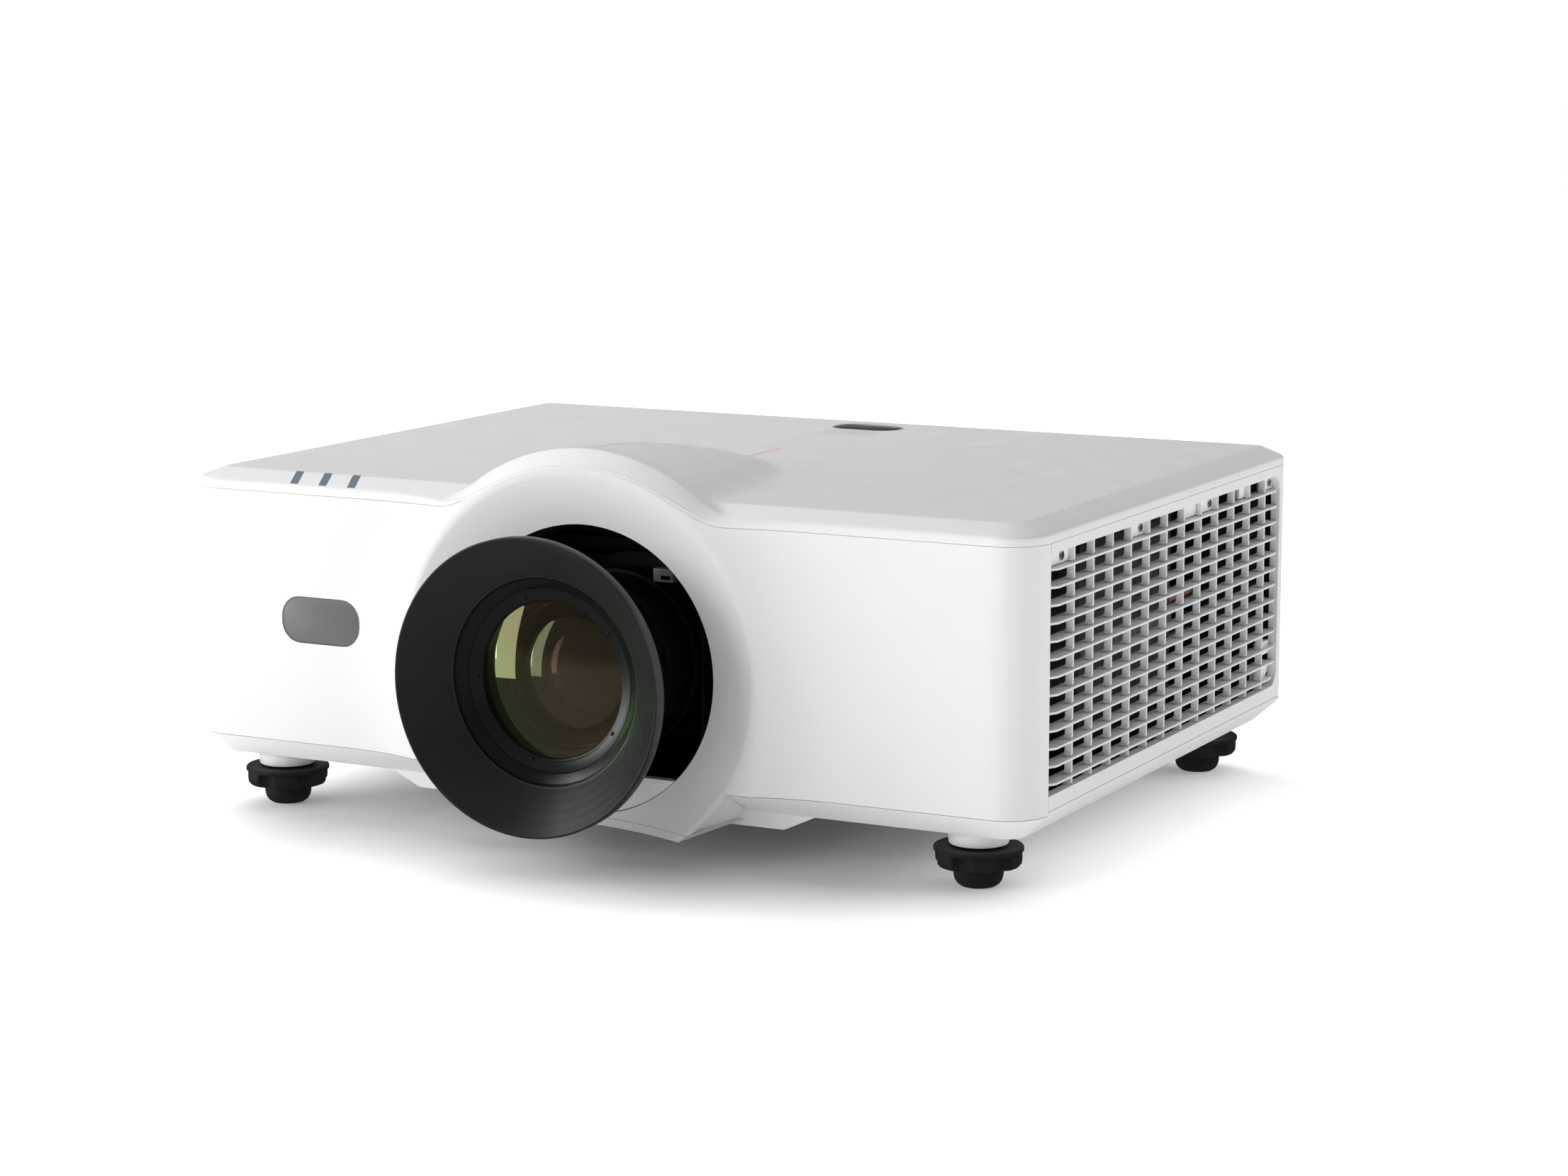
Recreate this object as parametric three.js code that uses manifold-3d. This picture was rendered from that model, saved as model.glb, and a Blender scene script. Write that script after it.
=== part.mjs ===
// Lens-shift laser projector: shells, levelling feet, shifting zoom lens, light engine, cooling and controls.
// Millimetres, +Z up, +Y towards the rear. The origin is on the resting plane, under the object's middle.
import * as THREE from 'three';
import { mergeVertices } from 'three/addons/utils/BufferGeometryUtils.js';
import Module from 'manifold-3d';

const wasm = await Module();
wasm.setup();

// ---------------------------------------------------------------- driving dimensions
const width = 484;              // left side to right side
const frontY = -145;            // flat front face
const rearY = 204;              // rear face
const underZ = 29;              // flat underside above the resting plane
const faceZ = 40.5;             // lower edge of the front face, where the bottom chamfer starts
const sideZ = 42.2;             // lower edge of the side and rear panels
const partingZ = 171.3;         // seam between the panels and the top cover
const shoulderZ = 175.9;        // lower edge of the top chamfer
const topZ = 181;               // flat top
const topInset = 13.6;          // horizontal run of the top chamfer
const cornerR = 21.7;           // upright corners at the front
const rearCornerR = 3;
const wall = 2.6;               // shell thickness
const gap = 0.3;                // clearance between touching pieces
const lensZ = 94;               // height of the lens axis, which lies in the plane x = 0
const ringR = 98.6;             // outer edge of the dished ring round the lens
const ringProud = 8.3;          // how far that edge stands in front of the front face
const holeR = 73;               // lens opening
const sillZ = 42.3;             // flat bottom of the lens opening
const archR = 104.3;            // seam of the top cover over the ring
const archZ = 91.4;
const bulgeZ = 21.1;            // underside of the deeper housing below the lens
const bulgeRearY = frontY + 236;
const footX = 202;
const footFrontY = frontY + 30.7;
const footRearY = frontY + 327;
const half = width / 2;

// ---------------------------------------------------------------- solids
function toSolid(geometry) {
  const bare = geometry.clone();
  bare.deleteAttribute('normal');
  bare.deleteAttribute('uv');
  const merged = mergeVertices(bare, 1e-4);
  const position = merged.attributes.position;
  const triangles = [];
  let volume = 0;
  const [a, b, c] = [new THREE.Vector3(), new THREE.Vector3(), new THREE.Vector3()];
  for (let i = 0; i < merged.index.count; i += 3) {
    const [p, q, r] = [0, 1, 2].map((k) => merged.index.getX(i + k));
    if (p === q || q === r || r === p) continue;
    triangles.push([p, q, r]);
    a.fromBufferAttribute(position, p);
    b.fromBufferAttribute(position, q);
    c.fromBufferAttribute(position, r);
    volume += a.dot(b.cross(c));
  }
  const outward = volume > 0 ? triangles : triangles.map(([p, q, r]) => [p, r, q]);
  return new wasm.Manifold(new wasm.Mesh({
    numProp: 3,
    vertProperties: new Float32Array(position.array),
    triVerts: new Uint32Array(outward.flat()),
  }));
}

function toGeometry(solid) {
  const mesh = solid.getMesh();
  const geometry = new THREE.BufferGeometry();
  geometry.setAttribute('position', new THREE.BufferAttribute(new Float32Array(mesh.vertProperties), 3));
  geometry.setIndex(new THREE.BufferAttribute(new Uint32Array(mesh.triVerts), 1));
  geometry.computeVertexNormals();
  return geometry;
}

function box(x0, x1, y0, y1, z0, z1) {
  const geometry = new THREE.BoxGeometry(x1 - x0, y1 - y0, z1 - z0);
  geometry.translate((x0 + x1) / 2, (y0 + y1) / 2, (z0 + z1) / 2);
  return toSolid(geometry);
}

// Solid of revolution about the Y axis through (x, z); the profile is a list of [radius, y].
function turnedY(profile, x, z, segments = 48) {
  const geometry = new THREE.LatheGeometry(profile.map(([r, y]) => new THREE.Vector2(r, y)), segments);
  geometry.translate(x, 0, z);
  return toSolid(geometry);
}

// Solid of revolution about the Z axis through the local origin; the profile is a list of [radius, z].
function turnedZ(profile, segments = 32) {
  const geometry = new THREE.LatheGeometry(profile.map(([r, z]) => new THREE.Vector2(r, z)), segments);
  geometry.rotateX(Math.PI / 2);
  return toSolid(geometry);
}

const discProfile = (r, a, b) => [[0, a], [r, a], [r, b], [0, b]];
const tubeProfile = (inner, outer, a, b) => [[inner, a], [outer, a], [outer, b], [inner, b], [inner, a]];

// Prism of an outline along one axis: plane 'xz' runs along Y, 'xy' along Z and 'yz' along X.
function prism(points, plane, from, to, holes = []) {
  const shape = new THREE.Shape(points.map(([u, v]) => new THREE.Vector2(u, v)));
  for (const hole of holes) shape.holes.push(new THREE.Path(hole.map(([u, v]) => new THREE.Vector2(u, v))));
  const geometry = new THREE.ExtrudeGeometry(shape, { depth: to - from, bevelEnabled: false, steps: 1 });
  if (plane === 'xy') geometry.translate(0, 0, from);
  if (plane === 'xz') geometry.rotateX(Math.PI / 2).translate(0, to, 0);
  if (plane === 'yz') geometry.rotateX(Math.PI / 2).rotateZ(Math.PI / 2).translate(from, 0, 0);
  return toSolid(geometry);
}

// Closed skin through a row of rings that all have the same number of [x, y, z] points.
function loft(rings) {
  const count = rings[0].length;
  const points = rings.flat();
  const index = [];
  for (let ring = 0; ring + 1 < rings.length; ring += 1) {
    for (let i = 0; i < count; i += 1) {
      const [p, q] = [ring * count + i, ring * count + ((i + 1) % count)];
      index.push(p, q, q + count, p, q + count, p + count);
    }
  }
  const last = (rings.length - 1) * count;
  for (let i = 1; i + 1 < count; i += 1) {
    index.push(0, i + 1, i, last, last + i, last + i + 1);
  }
  const geometry = new THREE.BufferGeometry();
  geometry.setAttribute('position', new THREE.BufferAttribute(new Float32Array(points.flat()), 3));
  geometry.setIndex(index);
  return toSolid(geometry);
}

const joinAll = (solids) => solids.reduce((all, solid) => all.add(solid));
const cutAll = (solid, cutters) => cutters.reduce((left, cutter) => left.subtract(cutter), solid);

function rectangle(u0, u1, v0, v1) {
  return [[u0, v0], [u1, v0], [u1, v1], [u0, v1]];
}

function arc(cu, cv, r, from, to, steps) {
  return Array.from({ length: steps + 1 }, (_, i) => {
    const angle = THREE.MathUtils.degToRad(from + ((to - from) * i) / steps);
    return [cu + r * Math.cos(angle), cv + r * Math.sin(angle)];
  });
}

function roundedRectangle(u0, u1, v0, v1, r, steps = 3) {
  return [
    ...arc(u1 - r, v0 + r, r, -90, 0, steps), ...arc(u1 - r, v1 - r, r, 0, 90, steps),
    ...arc(u0 + r, v1 - r, r, 90, 180, steps), ...arc(u0 + r, v0 + r, r, 180, 270, steps),
  ];
}

// ---------------------------------------------------------------- scene graph
const projector = new THREE.Group();
projector.name = 'projector';

function material(color, roughness, metalness = 0) {
  return () => new THREE.MeshStandardMaterial({ color, roughness, metalness, flatShading: true });
}

const whitePlastic = material(0xf2f2f3, 0.45);
const blackPlastic = material(0x141416, 0.5);
const blackRubber = material(0x0c0c0d, 0.8);
const smokedPlastic = material(0x55585c, 0.25);
const lightPipe = material(0x8fa1b0, 0.2);
const greyPlastic = material(0x9b9c9a, 0.5);
const glassLike = material(0x1c2a22, 0.05);
const aluminium = material(0xb9bcc0, 0.35, 1);
const blackMetal = material(0x1b1b1d, 0.45, 0.6);
const copper = material(0xb0654a, 0.35, 1);
const steel = material(0x8b8e92, 0.4, 1);
const boardGreen = material(0x1f4a33, 0.6);
const filterFoam = material(0xc9cbc6, 0.95);

function place(name, solid, finish, position = [0, 0, 0], parent = projector) {
  const mesh = new THREE.Mesh(toGeometry(solid), finish());
  mesh.name = name;
  mesh.position.set(...position);
  parent.add(mesh);
  return mesh;
}

// ---------------------------------------------------------------- body outline
// Plan outline with round corners, drawn in from the front and sides by inset and from the rear by rearInset.
function planRing(inset, z, rearInset = inset) {
  const [left, right] = [-half + inset, half - inset];
  const [front, rear] = [frontY + inset, rearY - rearInset];
  const r = Math.max(cornerR - inset, 1);
  return [
    ...arc(left + r, front + r, r, 180, 270, 6), ...arc(right - r, front + r, r, 270, 360, 6),
    ...arc(right - rearCornerR, rear - rearCornerR, rearCornerR, 0, 90, 1),
    ...arc(left + rearCornerR, rear - rearCornerR, rearCornerR, 90, 180, 1),
  ].map(([x, y]) => [x, y, z]);
}

// Smooth swell of the top cover behind the lens ring, as [distance behind the front face, ridge height].
const domeStart = 10;
const domeLength = 162;
const domeHalfWidth = 65;

function domeSection(t) {
  const y = frontY + domeStart + domeLength * t;
  const rise = Math.max(23 * (1 - t ** 1.75), 0.4);
  const reach = Math.max(domeHalfWidth * (1 - t ** 2.6) ** 0.75, 4);
  const r = (reach * reach + rise * rise) / (2 * rise);
  return { y, r, z: topZ + rise - r };
}

// Arc of one dome section, closed below by a chord at floorZ and thinned by inset.
function domeRing({ y, r, z }, inset, floorZ) {
  const radius = r - inset;
  const angle = Math.asin(Math.min(1, (floorZ - z) / radius));
  const reach = radius * Math.cos(angle);
  const steps = 20;
  return Array.from({ length: steps + 1 }, (_, i) => {
    const x = reach - (2 * reach * i) / steps;
    return [x, y, z + Math.sqrt(Math.max(radius * radius - x * x, 0))];
  });
}

const frontSections = [
  { y: frontY - ringProud, r: archR, z: archZ },
  { y: frontY + 1, r: 107.6, z: 97.1 },
];
const rearSections = Array.from({ length: 9 }, (_, i) => domeSection((i + 0.6) / 9));

function archCutter(radius, from, to) {
  return turnedY(discProfile(radius, from, to), 0, archZ, 64);
}

// ---------------------------------------------------------------- shells
function topCover() {
  const seatZ = partingZ + 0.2;
  const skin = loft([planRing(0, seatZ, 0), planRing(0, shoulderZ, 0), planRing(topInset, topZ, 1.2)]);
  const inside = loft([
    planRing(wall, seatZ - 1), planRing(wall, shoulderZ - 1), planRing(topInset + 1, topZ - wall, wall + 1),
  ]);
  const dome = loft([...frontSections, ...rearSections].map((s) => domeRing(s, 0, seatZ)));
  const domeInside = loft([
    { ...frontSections[1], y: frontY + wall }, ...rearSections.slice(0, 7),
  ].map((s) => domeRing(s, wall, seatZ - 1)));
  const irHole = prism(roundedRectangle(-21, 21, frontY + 310, frontY + 337, 12), 'xy', topZ - 8, topZ + 1);
  const pipeSlots = lightPipeXs.map((x) => lightPipeFinger(x, gap));
  const parting = archCutter(archR, frontY - ringProud - 1, frontY + wall + 20);
  const cutters = [inside, domeInside, irHole, parting, ...pipeSlots];
  return cutAll(skin.add(dome), cutters);
}

// Three light pipes cross the front chamfer of the cover, leaning to the left as they rise.
const lightPipeXs = [-173, -155.4, -137.8];

function lightPipeFinger(x, clearance) {
  const w = 2.2 + clearance;
  const lean = 4.8;
  const lift = clearance > 0 ? 1 : 0;
  const end = (t, deep, nudge) => {
    const [centre, y, z] = [x - lean * t, frontY + topInset * t + nudge, shoulderZ + (topZ - shoulderZ) * t];
    const [low, high] = [z - deep - clearance, z + lift];
    return [[centre - w, y, low], [centre + w, y, low], [centre + w, y, high], [centre - w, y, high]];
  };
  return loft([end(0.03, 2.8, -2 * clearance), end(0.94, 4.8, clearance)]);
}

function statusLightPipes() {
  const bar = box(lightPipeXs[0] - 6, lightPipeXs[2] + 2, frontY + 4.5, frontY + 8.5, 172, 175);
  return joinAll([bar, ...lightPipeXs.map((x) => lightPipeFinger(x, 0))]);
}

// The lens ring swells softly out of the front face, then dishes back to the lens opening: [radius, y].
const fairing = [
  [150, frontY - 0.01], [132, frontY - 0.8], [118, frontY - 2.6], [106, frontY - 5.4],
  [ringR + 2, frontY - 7.6],
];
const ringFace = [[ringR, frontY - ringProud], [holeR, frontY]];

// Underside of the ring: cut off flat and rising towards the housing below the lens.
const chinOutline = (lift) => [
  [frontY - ringProud, 17.1 + lift], [frontY + 9, 23.1 + lift], [frontY + 15, 23.1 + lift],
  [frontY + 15, bulgeZ], [frontY + 11.5, bulgeZ], [frontY - ringProud, 13.7],
];

function frontPanel() {
  const upperZ = partingZ - 0.2;
  const deep = frontY + cornerR;
  const shell = loft([planRing(0, faceZ), planRing(0, upperZ)])
    .subtract(loft([planRing(wall, faceZ - 1), planRing(wall, upperZ + 1)]))
    .intersect(box(-half - 1, half + 1, frontY - 1, deep, faceZ - 1, upperZ + 1));
  const swell = turnedY([
    ...fairing, ...ringFace, [holeR, frontY + wall], [150, frontY + wall], [150, frontY - 0.01],
  ], 0, lensZ, 48);
  const lobeWall = turnedY([
    [ringR, frontY - ringProud], [106, frontY + 11], [102, frontY + 11], [95, frontY - 2],
    [ringR, frontY - ringProud],
  ], 0, lensZ, 48);
  const lobe = turnedY([
    ...ringFace, [holeR, frontY + wall], [ringR + 1, frontY + wall], [ringR, frontY - ringProud],
  ], 0, lensZ, 48).add(lobeWall);
  const chinRoom = [
    ...chinOutline(gap).slice(0, 3), [frontY + 20, 0], [frontY - 20, 0], [frontY - 20, 13.4],
  ];
  const below = box(-120, 120, frontY - 20, frontY + 11.2, 13, faceZ)
    .subtract(prism(chinRoom, 'yz', -121, 121));
  const above = box(-200, 200, frontY - 20, frontY + wall + 1, faceZ, upperZ);
  const crown = archCutter(archR - 0.3, frontY - 20, frontY + wall + 1)
    .intersect(box(-120, 120, frontY - 20, frontY + wall + 1, upperZ - 0.01, 220));
  const ring = swell.intersect(above.add(crown)).add(lobe.intersect(below));
  const opening = turnedY(discProfile(holeR, frontY - 20, frontY + 20), 0, lensZ, 48);
  const irHole = prism(
    roundedRectangle(-181.8, -133.2, faceZ + 52.9, faceZ + 77.4, 11), 'xz', frontY - 1, frontY + 10,
  );
  return cutAll(shell.add(ring), [opening, irHole]);
}

function lensSill() {
  const r = holeR - gap;
  const reach = Math.sqrt(r * r - (lensZ - sillZ) ** 2);
  const span = THREE.MathUtils.radToDeg(Math.asin(reach / r));
  const plate = prism(arc(0, lensZ, r, 270 - span, 270 + span, 20), 'xz', frontY, frontY + wall);
  const shelf = box(-reach + 4, reach - 4, frontY + 1, frontY + 5.5, sillZ - wall, sillZ);
  const foot = box(-40, 40, frontY + 3, frontY + 5.5, 20, sillZ - 1);
  return joinAll([plate, shelf, foot]);
}

// A height inside the thickness of the tray's floor.
function floorAt(x, y) {
  if (y > bulgeRearY || Math.abs(x) > 122) return underZ + 1;
  return Math.abs(x) > 100 ? underZ - 2 : bulgeZ + 1;
}

function baseTray() {
  const rimZ = sideZ - gap;
  const outer = loft([planRing(11.5, underZ), planRing(0, faceZ - gap)])
    .add(loft([planRing(0, faceZ - 1), planRing(0, rimZ)])
      .intersect(box(-half, half, frontY + cornerR + gap, rearY, faceZ - 1, rimZ)));
  const inside = loft([
    planRing(11.5 + wall, underZ + wall), planRing(wall, faceZ), planRing(wall, rimZ + 5),
  ]);
  const bulgeOutline = [[-124, underZ + 1], [-106, bulgeZ], [106, bulgeZ], [124, underZ + 1]];
  const bulge = prism(bulgeOutline, 'xz', frontY + 11.5, bulgeRearY);
  const bulgeInside = prism(
    [[-118, underZ + wall + 1], [-104, bulgeZ + wall], [104, bulgeZ + wall], [118, underZ + wall + 1]],
    'xz', frontY + 11.5 + wall, bulgeRearY - wall,
  );
  const chin = prism(chinOutline(0), 'yz', -100, 100).intersect(turnedY([
    [0, frontY], [holeR, frontY], [ringR, frontY - ringProud], [106, frontY + 11.5], [106, frontY + 16],
    [0, frontY + 16],
  ], 0, lensZ, 48));
  const feet = footSpots.map(([x, y]) => turnedZ([
    [0, 21.4], [15, 21.4], [15.6, underZ + 1], [9, underZ + 1], [9, 46], [0, 46],
  ], 16).translate([x, y, 0]));
  const rods = (spots, r, from, to, segments) => spots
    .map(([x, y]) => turnedZ(discProfile(r, from, to), segments).translate([x, y, 0]));
  const bores = rods(footSpots, 4.5, 20, 47, 12);
  const inserts = rods(ceilingSpots, 10, underZ - 1, 42, 14);
  const threads = rods(ceilingSpots, 2.6, underZ - 2, 38, 8);
  const posts = standoffs.map(([x, y, top]) => box(x - 4, x + 4, y - 4, y + 4, floorAt(x, y), top - gap));
  const scallop = turnedY(discProfile(106 + gap, frontY - 20, frontY + 11.5), 0, lensZ, 48);
  const hollow = cutAll(outer.add(bulge), [inside, bulgeInside, scallop]);
  return cutAll(joinAll([hollow, chin, lensSill(), ...feet, ...inserts, ...posts]), [...bores, ...threads]);
}

const footSpots = [
  [-footX, footFrontY], [footX, footFrontY], [-footX, footRearY], [footX, footRearY],
];
const ceilingSpots = [
  [-150, frontY + 60], [150, frontY + 60], [-150, frontY + 280], [150, frontY + 280],
];

// Posts that rise from the floor of the tray to the underside of what they carry: [x, y, top].
const standoffs = [
  [-200, frontY + 96, 36], [-116, frontY + 96, 36], [-200, frontY + 238, 36], [-116, frontY + 238, 36],
  [-56, frontY + 100, 44], [64, frontY + 100, 44], [-56, frontY + 214, 44], [64, frontY + 214, 44],
  [146, frontY + 116, 52], [212, frontY + 116, 52], [146, frontY + 226, 52], [212, frontY + 226, 52],
  [110, frontY + 262, 60], [140, frontY + 302, 60], [112, frontY + 132, 54], [112, frontY + 210, 54],
  [-198, frontY + 262, 152], [70, frontY + 262, 152], [-198, rearY - 30, 152], [70, rearY - 30, 152],
];

// Right side: an open frame round the exhaust grille. The opening runs up to the front panel.
const openTopZ = 166.2;
const openLowZ = 49.5;
const openRearY = frontY + 341;

function rightSidePanel() {
  const [front, rear] = [frontY + cornerR + gap, rearY];
  const slab = box(half - 10, half, front, rear, sideZ, partingZ - 0.2);
  const r = 9;
  const opening = prism([
    [front - 1, openLowZ], ...arc(openRearY - r, openLowZ + r, r, -90, 0, 4),
    ...arc(openRearY - r, openTopZ - r, r, 0, 90, 4), [front - 1, openTopZ],
  ], 'yz', half - 5, half + 1);
  const inner = prism(rectangle(front + 4, openRearY, openLowZ, openTopZ), 'yz', half - 11, half - 4.9);
  const post = box(half - 10, half - 6, front, front + 4, sideZ, partingZ - 0.2);
  const back = box(half - 11, half - wall, openRearY + 3, rear - 3, sideZ + 4, partingZ - 4);
  const corner = box(half - 11, half + 1, rear - wall - gap, rear + 1, sideZ - 1, partingZ + 1)
    .subtract(box(half - 2.5, half + 2, rear - 20, rear + 2, sideZ - 2, partingZ + 2));
  return cutAll(slab, [opening, inner, back, corner]).add(post);
}

const louvreCount = 13;
const louvrePitch = 8.67;
const firstLouvreZ = faceZ + 13;
const ribCount = 12;
const ribPitch = 24.34;
const firstRibY = frontY + 54.3;
const tieRibs = [5];            // the upright rib that the louvres are joined to

function rightGrille() {
  const [front, rear] = [frontY + cornerR + gap + 5, openRearY - gap - 0.2];
  const [low, high] = [openLowZ + gap, openTopZ - gap];
  const louvres = Array.from({ length: louvreCount }, (_, i) => {
    const z = firstLouvreZ + louvrePitch * i;
    const end = i === 0 ? rear - 4 : rear;
    const outline = [[half - 0.8, z - 0.6], [half - 0.8, z + 0.6], [half - 9, z + 3.4], [half - 9, z + 2.4]];
    return prism(outline, 'xz', front, end);
  });
  const ribs = Array.from({ length: ribCount }, (_, i) => {
    const y = firstRibY + ribPitch * i;
    const front = tieRibs.includes(i) ? half - 8.7 : half - 9.1;
    return box(half - 14, front, y - 0.6, y + 0.6, low + 0.1, high - 0.1);
  });
  const frame = box(half - 14, half - 10.4, front - 0.5, rear, low, high)
    .subtract(box(half - 15, half - 10, front + 1, rear - 1.5, low + 1.5, high - 1.5));
  const ends = [box(half - 12, half - 6.5, front - 0.5, front + 1, low, high),
    box(half - 12, half - 6.5, rear - 1.5, rear, low, high)];
  const tabs = [[0, 1], [4, 5], [7, 9], [12, 13]].map(([a, b]) => {
    const from = a === 0 ? front + 0.5 : firstRibY + ribPitch * (a - 1);
    const to = Math.min(b === 13 ? rear - 0.5 : firstRibY + ribPitch * (b - 1), rear - 0.5);
    return box(half - 12.5, half - 11, from, to, high - 8, high);
  });
  return joinAll([frame, ...ends, ...louvres, ...ribs, ...tabs]);
}

// Left side: intake with a hinged filter cover.
const coverY0 = frontY + 70;
const coverY1 = frontY + 300;
const coverZ0 = 62;
const coverZ1 = 152;

function leftSidePanel() {
  const [front, rear] = [frontY + cornerR + gap, rearY];
  const slab = box(-half, -half + wall, front, rear - wall - gap, sideZ, partingZ - 0.2);
  const opening = box(-half - 1, -half + wall + 1, coverY0 - 0.8, coverY1 + 0.8, coverZ0 - 2, coverZ1 + 0.8);
  const lip = box(-half, -half + 2.5, rear - 5, rear, sideZ, partingZ - 0.2);
  const pocket = box(-half + wall - 0.1, -half + 19, coverY0 - 5, coverY1 + 5, coverZ0 - 6, coverZ1 + 5)
    .subtract(box(-half + 1, -half + 20, coverY0 - 3, coverY1 + 3, coverZ0 - 4, coverZ1 + 3));
  return slab.subtract(opening).add(lip).add(pocket.subtract(box(-half + 15, -half + 20,
    coverY0 + 4, coverY1 - 4, coverZ0 + 4, coverZ1 - 4)));
}

function filterCover() {
  const slots = [];
  for (let row = 0; row < 8; row += 1) {
    for (let column = 0; column < 2; column += 1) {
      const y = coverY0 + 10 + column * 106;
      const z = coverZ0 + 9 + row * 9.6;
      slots.push(box(-half - 1, -half + wall + 1, y, y + 104, z, z + 5.2));
    }
  }
  return cutAll(box(-half, -half + wall - 0.2, coverY0, coverY1, coverZ0, coverZ1), slots);
}

function airFilter() {
  const [x0, x1] = [-half + 5, -half + 14];
  const pleat = 5;
  const count = Math.floor((coverY1 - coverY0 - 12) / (2 * pleat));
  const y0 = (coverY0 + coverY1) / 2 - count * pleat;
  const near = [];
  const far = [];
  for (let i = 0; i <= 2 * count; i += 1) {
    const deep = i % 2 === 0 ? x0 : x1 - 1.5;
    near.push([deep, y0 + i * pleat]);
    far.unshift([deep + 1.5, y0 + i * pleat]);
  }
  return prism([...near, ...far], 'xy', coverZ0 + 2, coverZ1 - 2);
}

// Rear: flat panel with the connector plate at low x, the keypad above it and the mains inlet at high x.
const plateX0 = -190;
const plateX1 = 20;
const plateZ0 = 58;
const plateZ1 = 104;
const keypadX = -85;
const keypadZ = 138;
const keypadW = 118;
const keypadH = 42;
const inletX = 178;
const inletZ = 74;

function keypadOutline(inset) {
  const [w, h] = [keypadW / 2 - inset, keypadH / 2 - inset];
  return roundedRectangle(keypadX - w, keypadX + w, keypadZ - h, keypadZ + h, 6 - inset);
}

function rearPanel() {
  const slab = box(-half + 2.8, half - 2.8, rearY - wall, rearY, sideZ, partingZ - 0.2);
  const plateHole = box(plateX0, plateX1, rearY - 5, rearY + 1, plateZ0, plateZ1);
  const keypadHole = prism(keypadOutline(0), 'xz', rearY - 5, rearY + 1);
  const inletHole = box(inletX - 15, inletX + 42, rearY - 5, rearY + 1, inletZ - 11, inletZ + 11);
  const vents = Array.from({ length: 7 }, (_, i) => {
    const z = 100 + i * 9;
    return box(60, 205, rearY - 5, rearY + 1, z, z + 4.5);
  });
  return cutAll(slab, [plateHole, keypadHole, inletHole, ...vents])
    .add(box(130, 133, rearY - wall, rearY, 95, 165));
}

function frontWindow() {
  const outline = roundedRectangle(-181.5, -133.5, faceZ + 53.2, faceZ + 77.1, 10.7);
  return prism(outline, 'xz', frontY + 0.3, frontY + 2.4);
}

function topWindow() {
  const outline = roundedRectangle(-20.7, 20.7, frontY + 310.3, frontY + 336.7, 11.7);
  return prism(outline, 'xy', topZ - wall, topZ - 0.3);
}

// ---------------------------------------------------------------- feet
function footKnob() {
  const grip = turnedZ([
    [0, 9.9], [20, 9.9], [21.3, 12], [21.3, 17.4], [22, 17.8], [22, 20.3], [3.9, 20.3], [3.9, 44], [0, 44],
  ], 20);
  const scallops = Array.from({ length: 6 }, (_, i) => {
    const angle = (i + 0.5) * (Math.PI / 3);
    return turnedZ(discProfile(5, 9, 17.2), 6).translate([23.9 * Math.cos(angle), 23.9 * Math.sin(angle), 0]);
  });
  return cutAll(grip, scallops);
}

function footPad() {
  return turnedZ([[0, 0], [6, 0], [11, 2.6], [12.4, 9.6], [0, 9.6]], 18);
}

// ---------------------------------------------------------------- lens
const hoodFrontY = frontY - 59;
const hoodRimY = frontY - 48.6;
const mountY = frontY + 62;     // front of the lens mount plate
const gearModule = 1;
const ringTeeth = 96;
const pinionTeeth = 16;
const sectorTeeth = 11;         // teeth of a drive ring's sector to each side of its middle tooth
const gearReach = (gearModule * (ringTeeth + pinionTeeth)) / 2;
const motorAngle = 225;         // where the drive motors sit round the lens axis, in degrees
const focusY = frontY + 6;      // front edges of the two drive rings
const zoomY = frontY + 33;
const ringLength = 13;

function lensHood() {
  return turnedY([
    [51.7, frontY - 38.3], [73, hoodFrontY], [74, hoodFrontY + 0.8], [73, hoodRimY], [70.5, hoodRimY],
    [48.6, frontY - 26], [48.6, frontY - 20], [46.3, frontY - 20], [46.3, frontY - 35], [51.7, frontY - 38.3],
  ], 0, lensZ, 48);
}

function lensBarrel() {
  const tube = turnedY([
    [40.4, frontY - 29], [46, frontY - 31], [46, frontY - 2], [44, frontY - 2], [44, mountY - 6],
    [52, mountY - 6], [52, mountY - gap], [34, mountY - gap], [34, frontY - 22], [40.4, frontY - 22],
    [40.4, frontY - 29],
  ], 0, lensZ, 32);
  const saddles = [focusY, zoomY].map((y) => box(42, gearReach, y + ringLength + 1, y + ringLength + 8, -10, 10)
    .subtract(turnedY(discProfile(9 + gap, y, y + 40), gearReach, 0, 20))
    .rotate([0, -motorAngle, 0]).translate([0, 0, lensZ]));
  return joinAll([tube, ...saddles]);
}

function glassElement(r, vertexY, edgeY, backY) {
  const sag = edgeY - vertexY;
  const curve = (r * r + sag * sag) / (2 * sag);
  const steps = 4;
  const face = Array.from({ length: steps + 1 }, (_, i) => {
    const radius = (r * i) / steps;
    return [radius, vertexY + curve - Math.sqrt(curve * curve - radius * radius)];
  });
  return turnedY([...face, [r, backY], [0, backY]], 0, lensZ, 32);
}

function retainingRing() {
  return turnedY([
    [39.2, frontY - 32.5], [43, frontY - 35.2], [45.9, frontY - 35.2], [45.9, frontY - 31.5],
    [39.2, frontY - 31.5], [39.2, frontY - 32.5],
  ], 0, lensZ, 36);
}

// Straight-flanked gear teeth round the axis, numbered from first to last of a full circle of teeth.
function teethOutline(teeth, first, last, phase = 0) {
  const r = (gearModule * teeth) / 2;
  const points = [];
  for (let i = first; i <= last; i += 1) {
    for (const [share, radius] of [[-0.3, r - 1.25], [-0.12, r + 0.85], [0.12, r + 0.85], [0.3, r - 1.25]]) {
      const angle = ((i + phase + share) * 2 * Math.PI) / teeth;
      points.push([radius * Math.cos(angle), radius * Math.sin(angle)]);
    }
  }
  return points;
}

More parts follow.
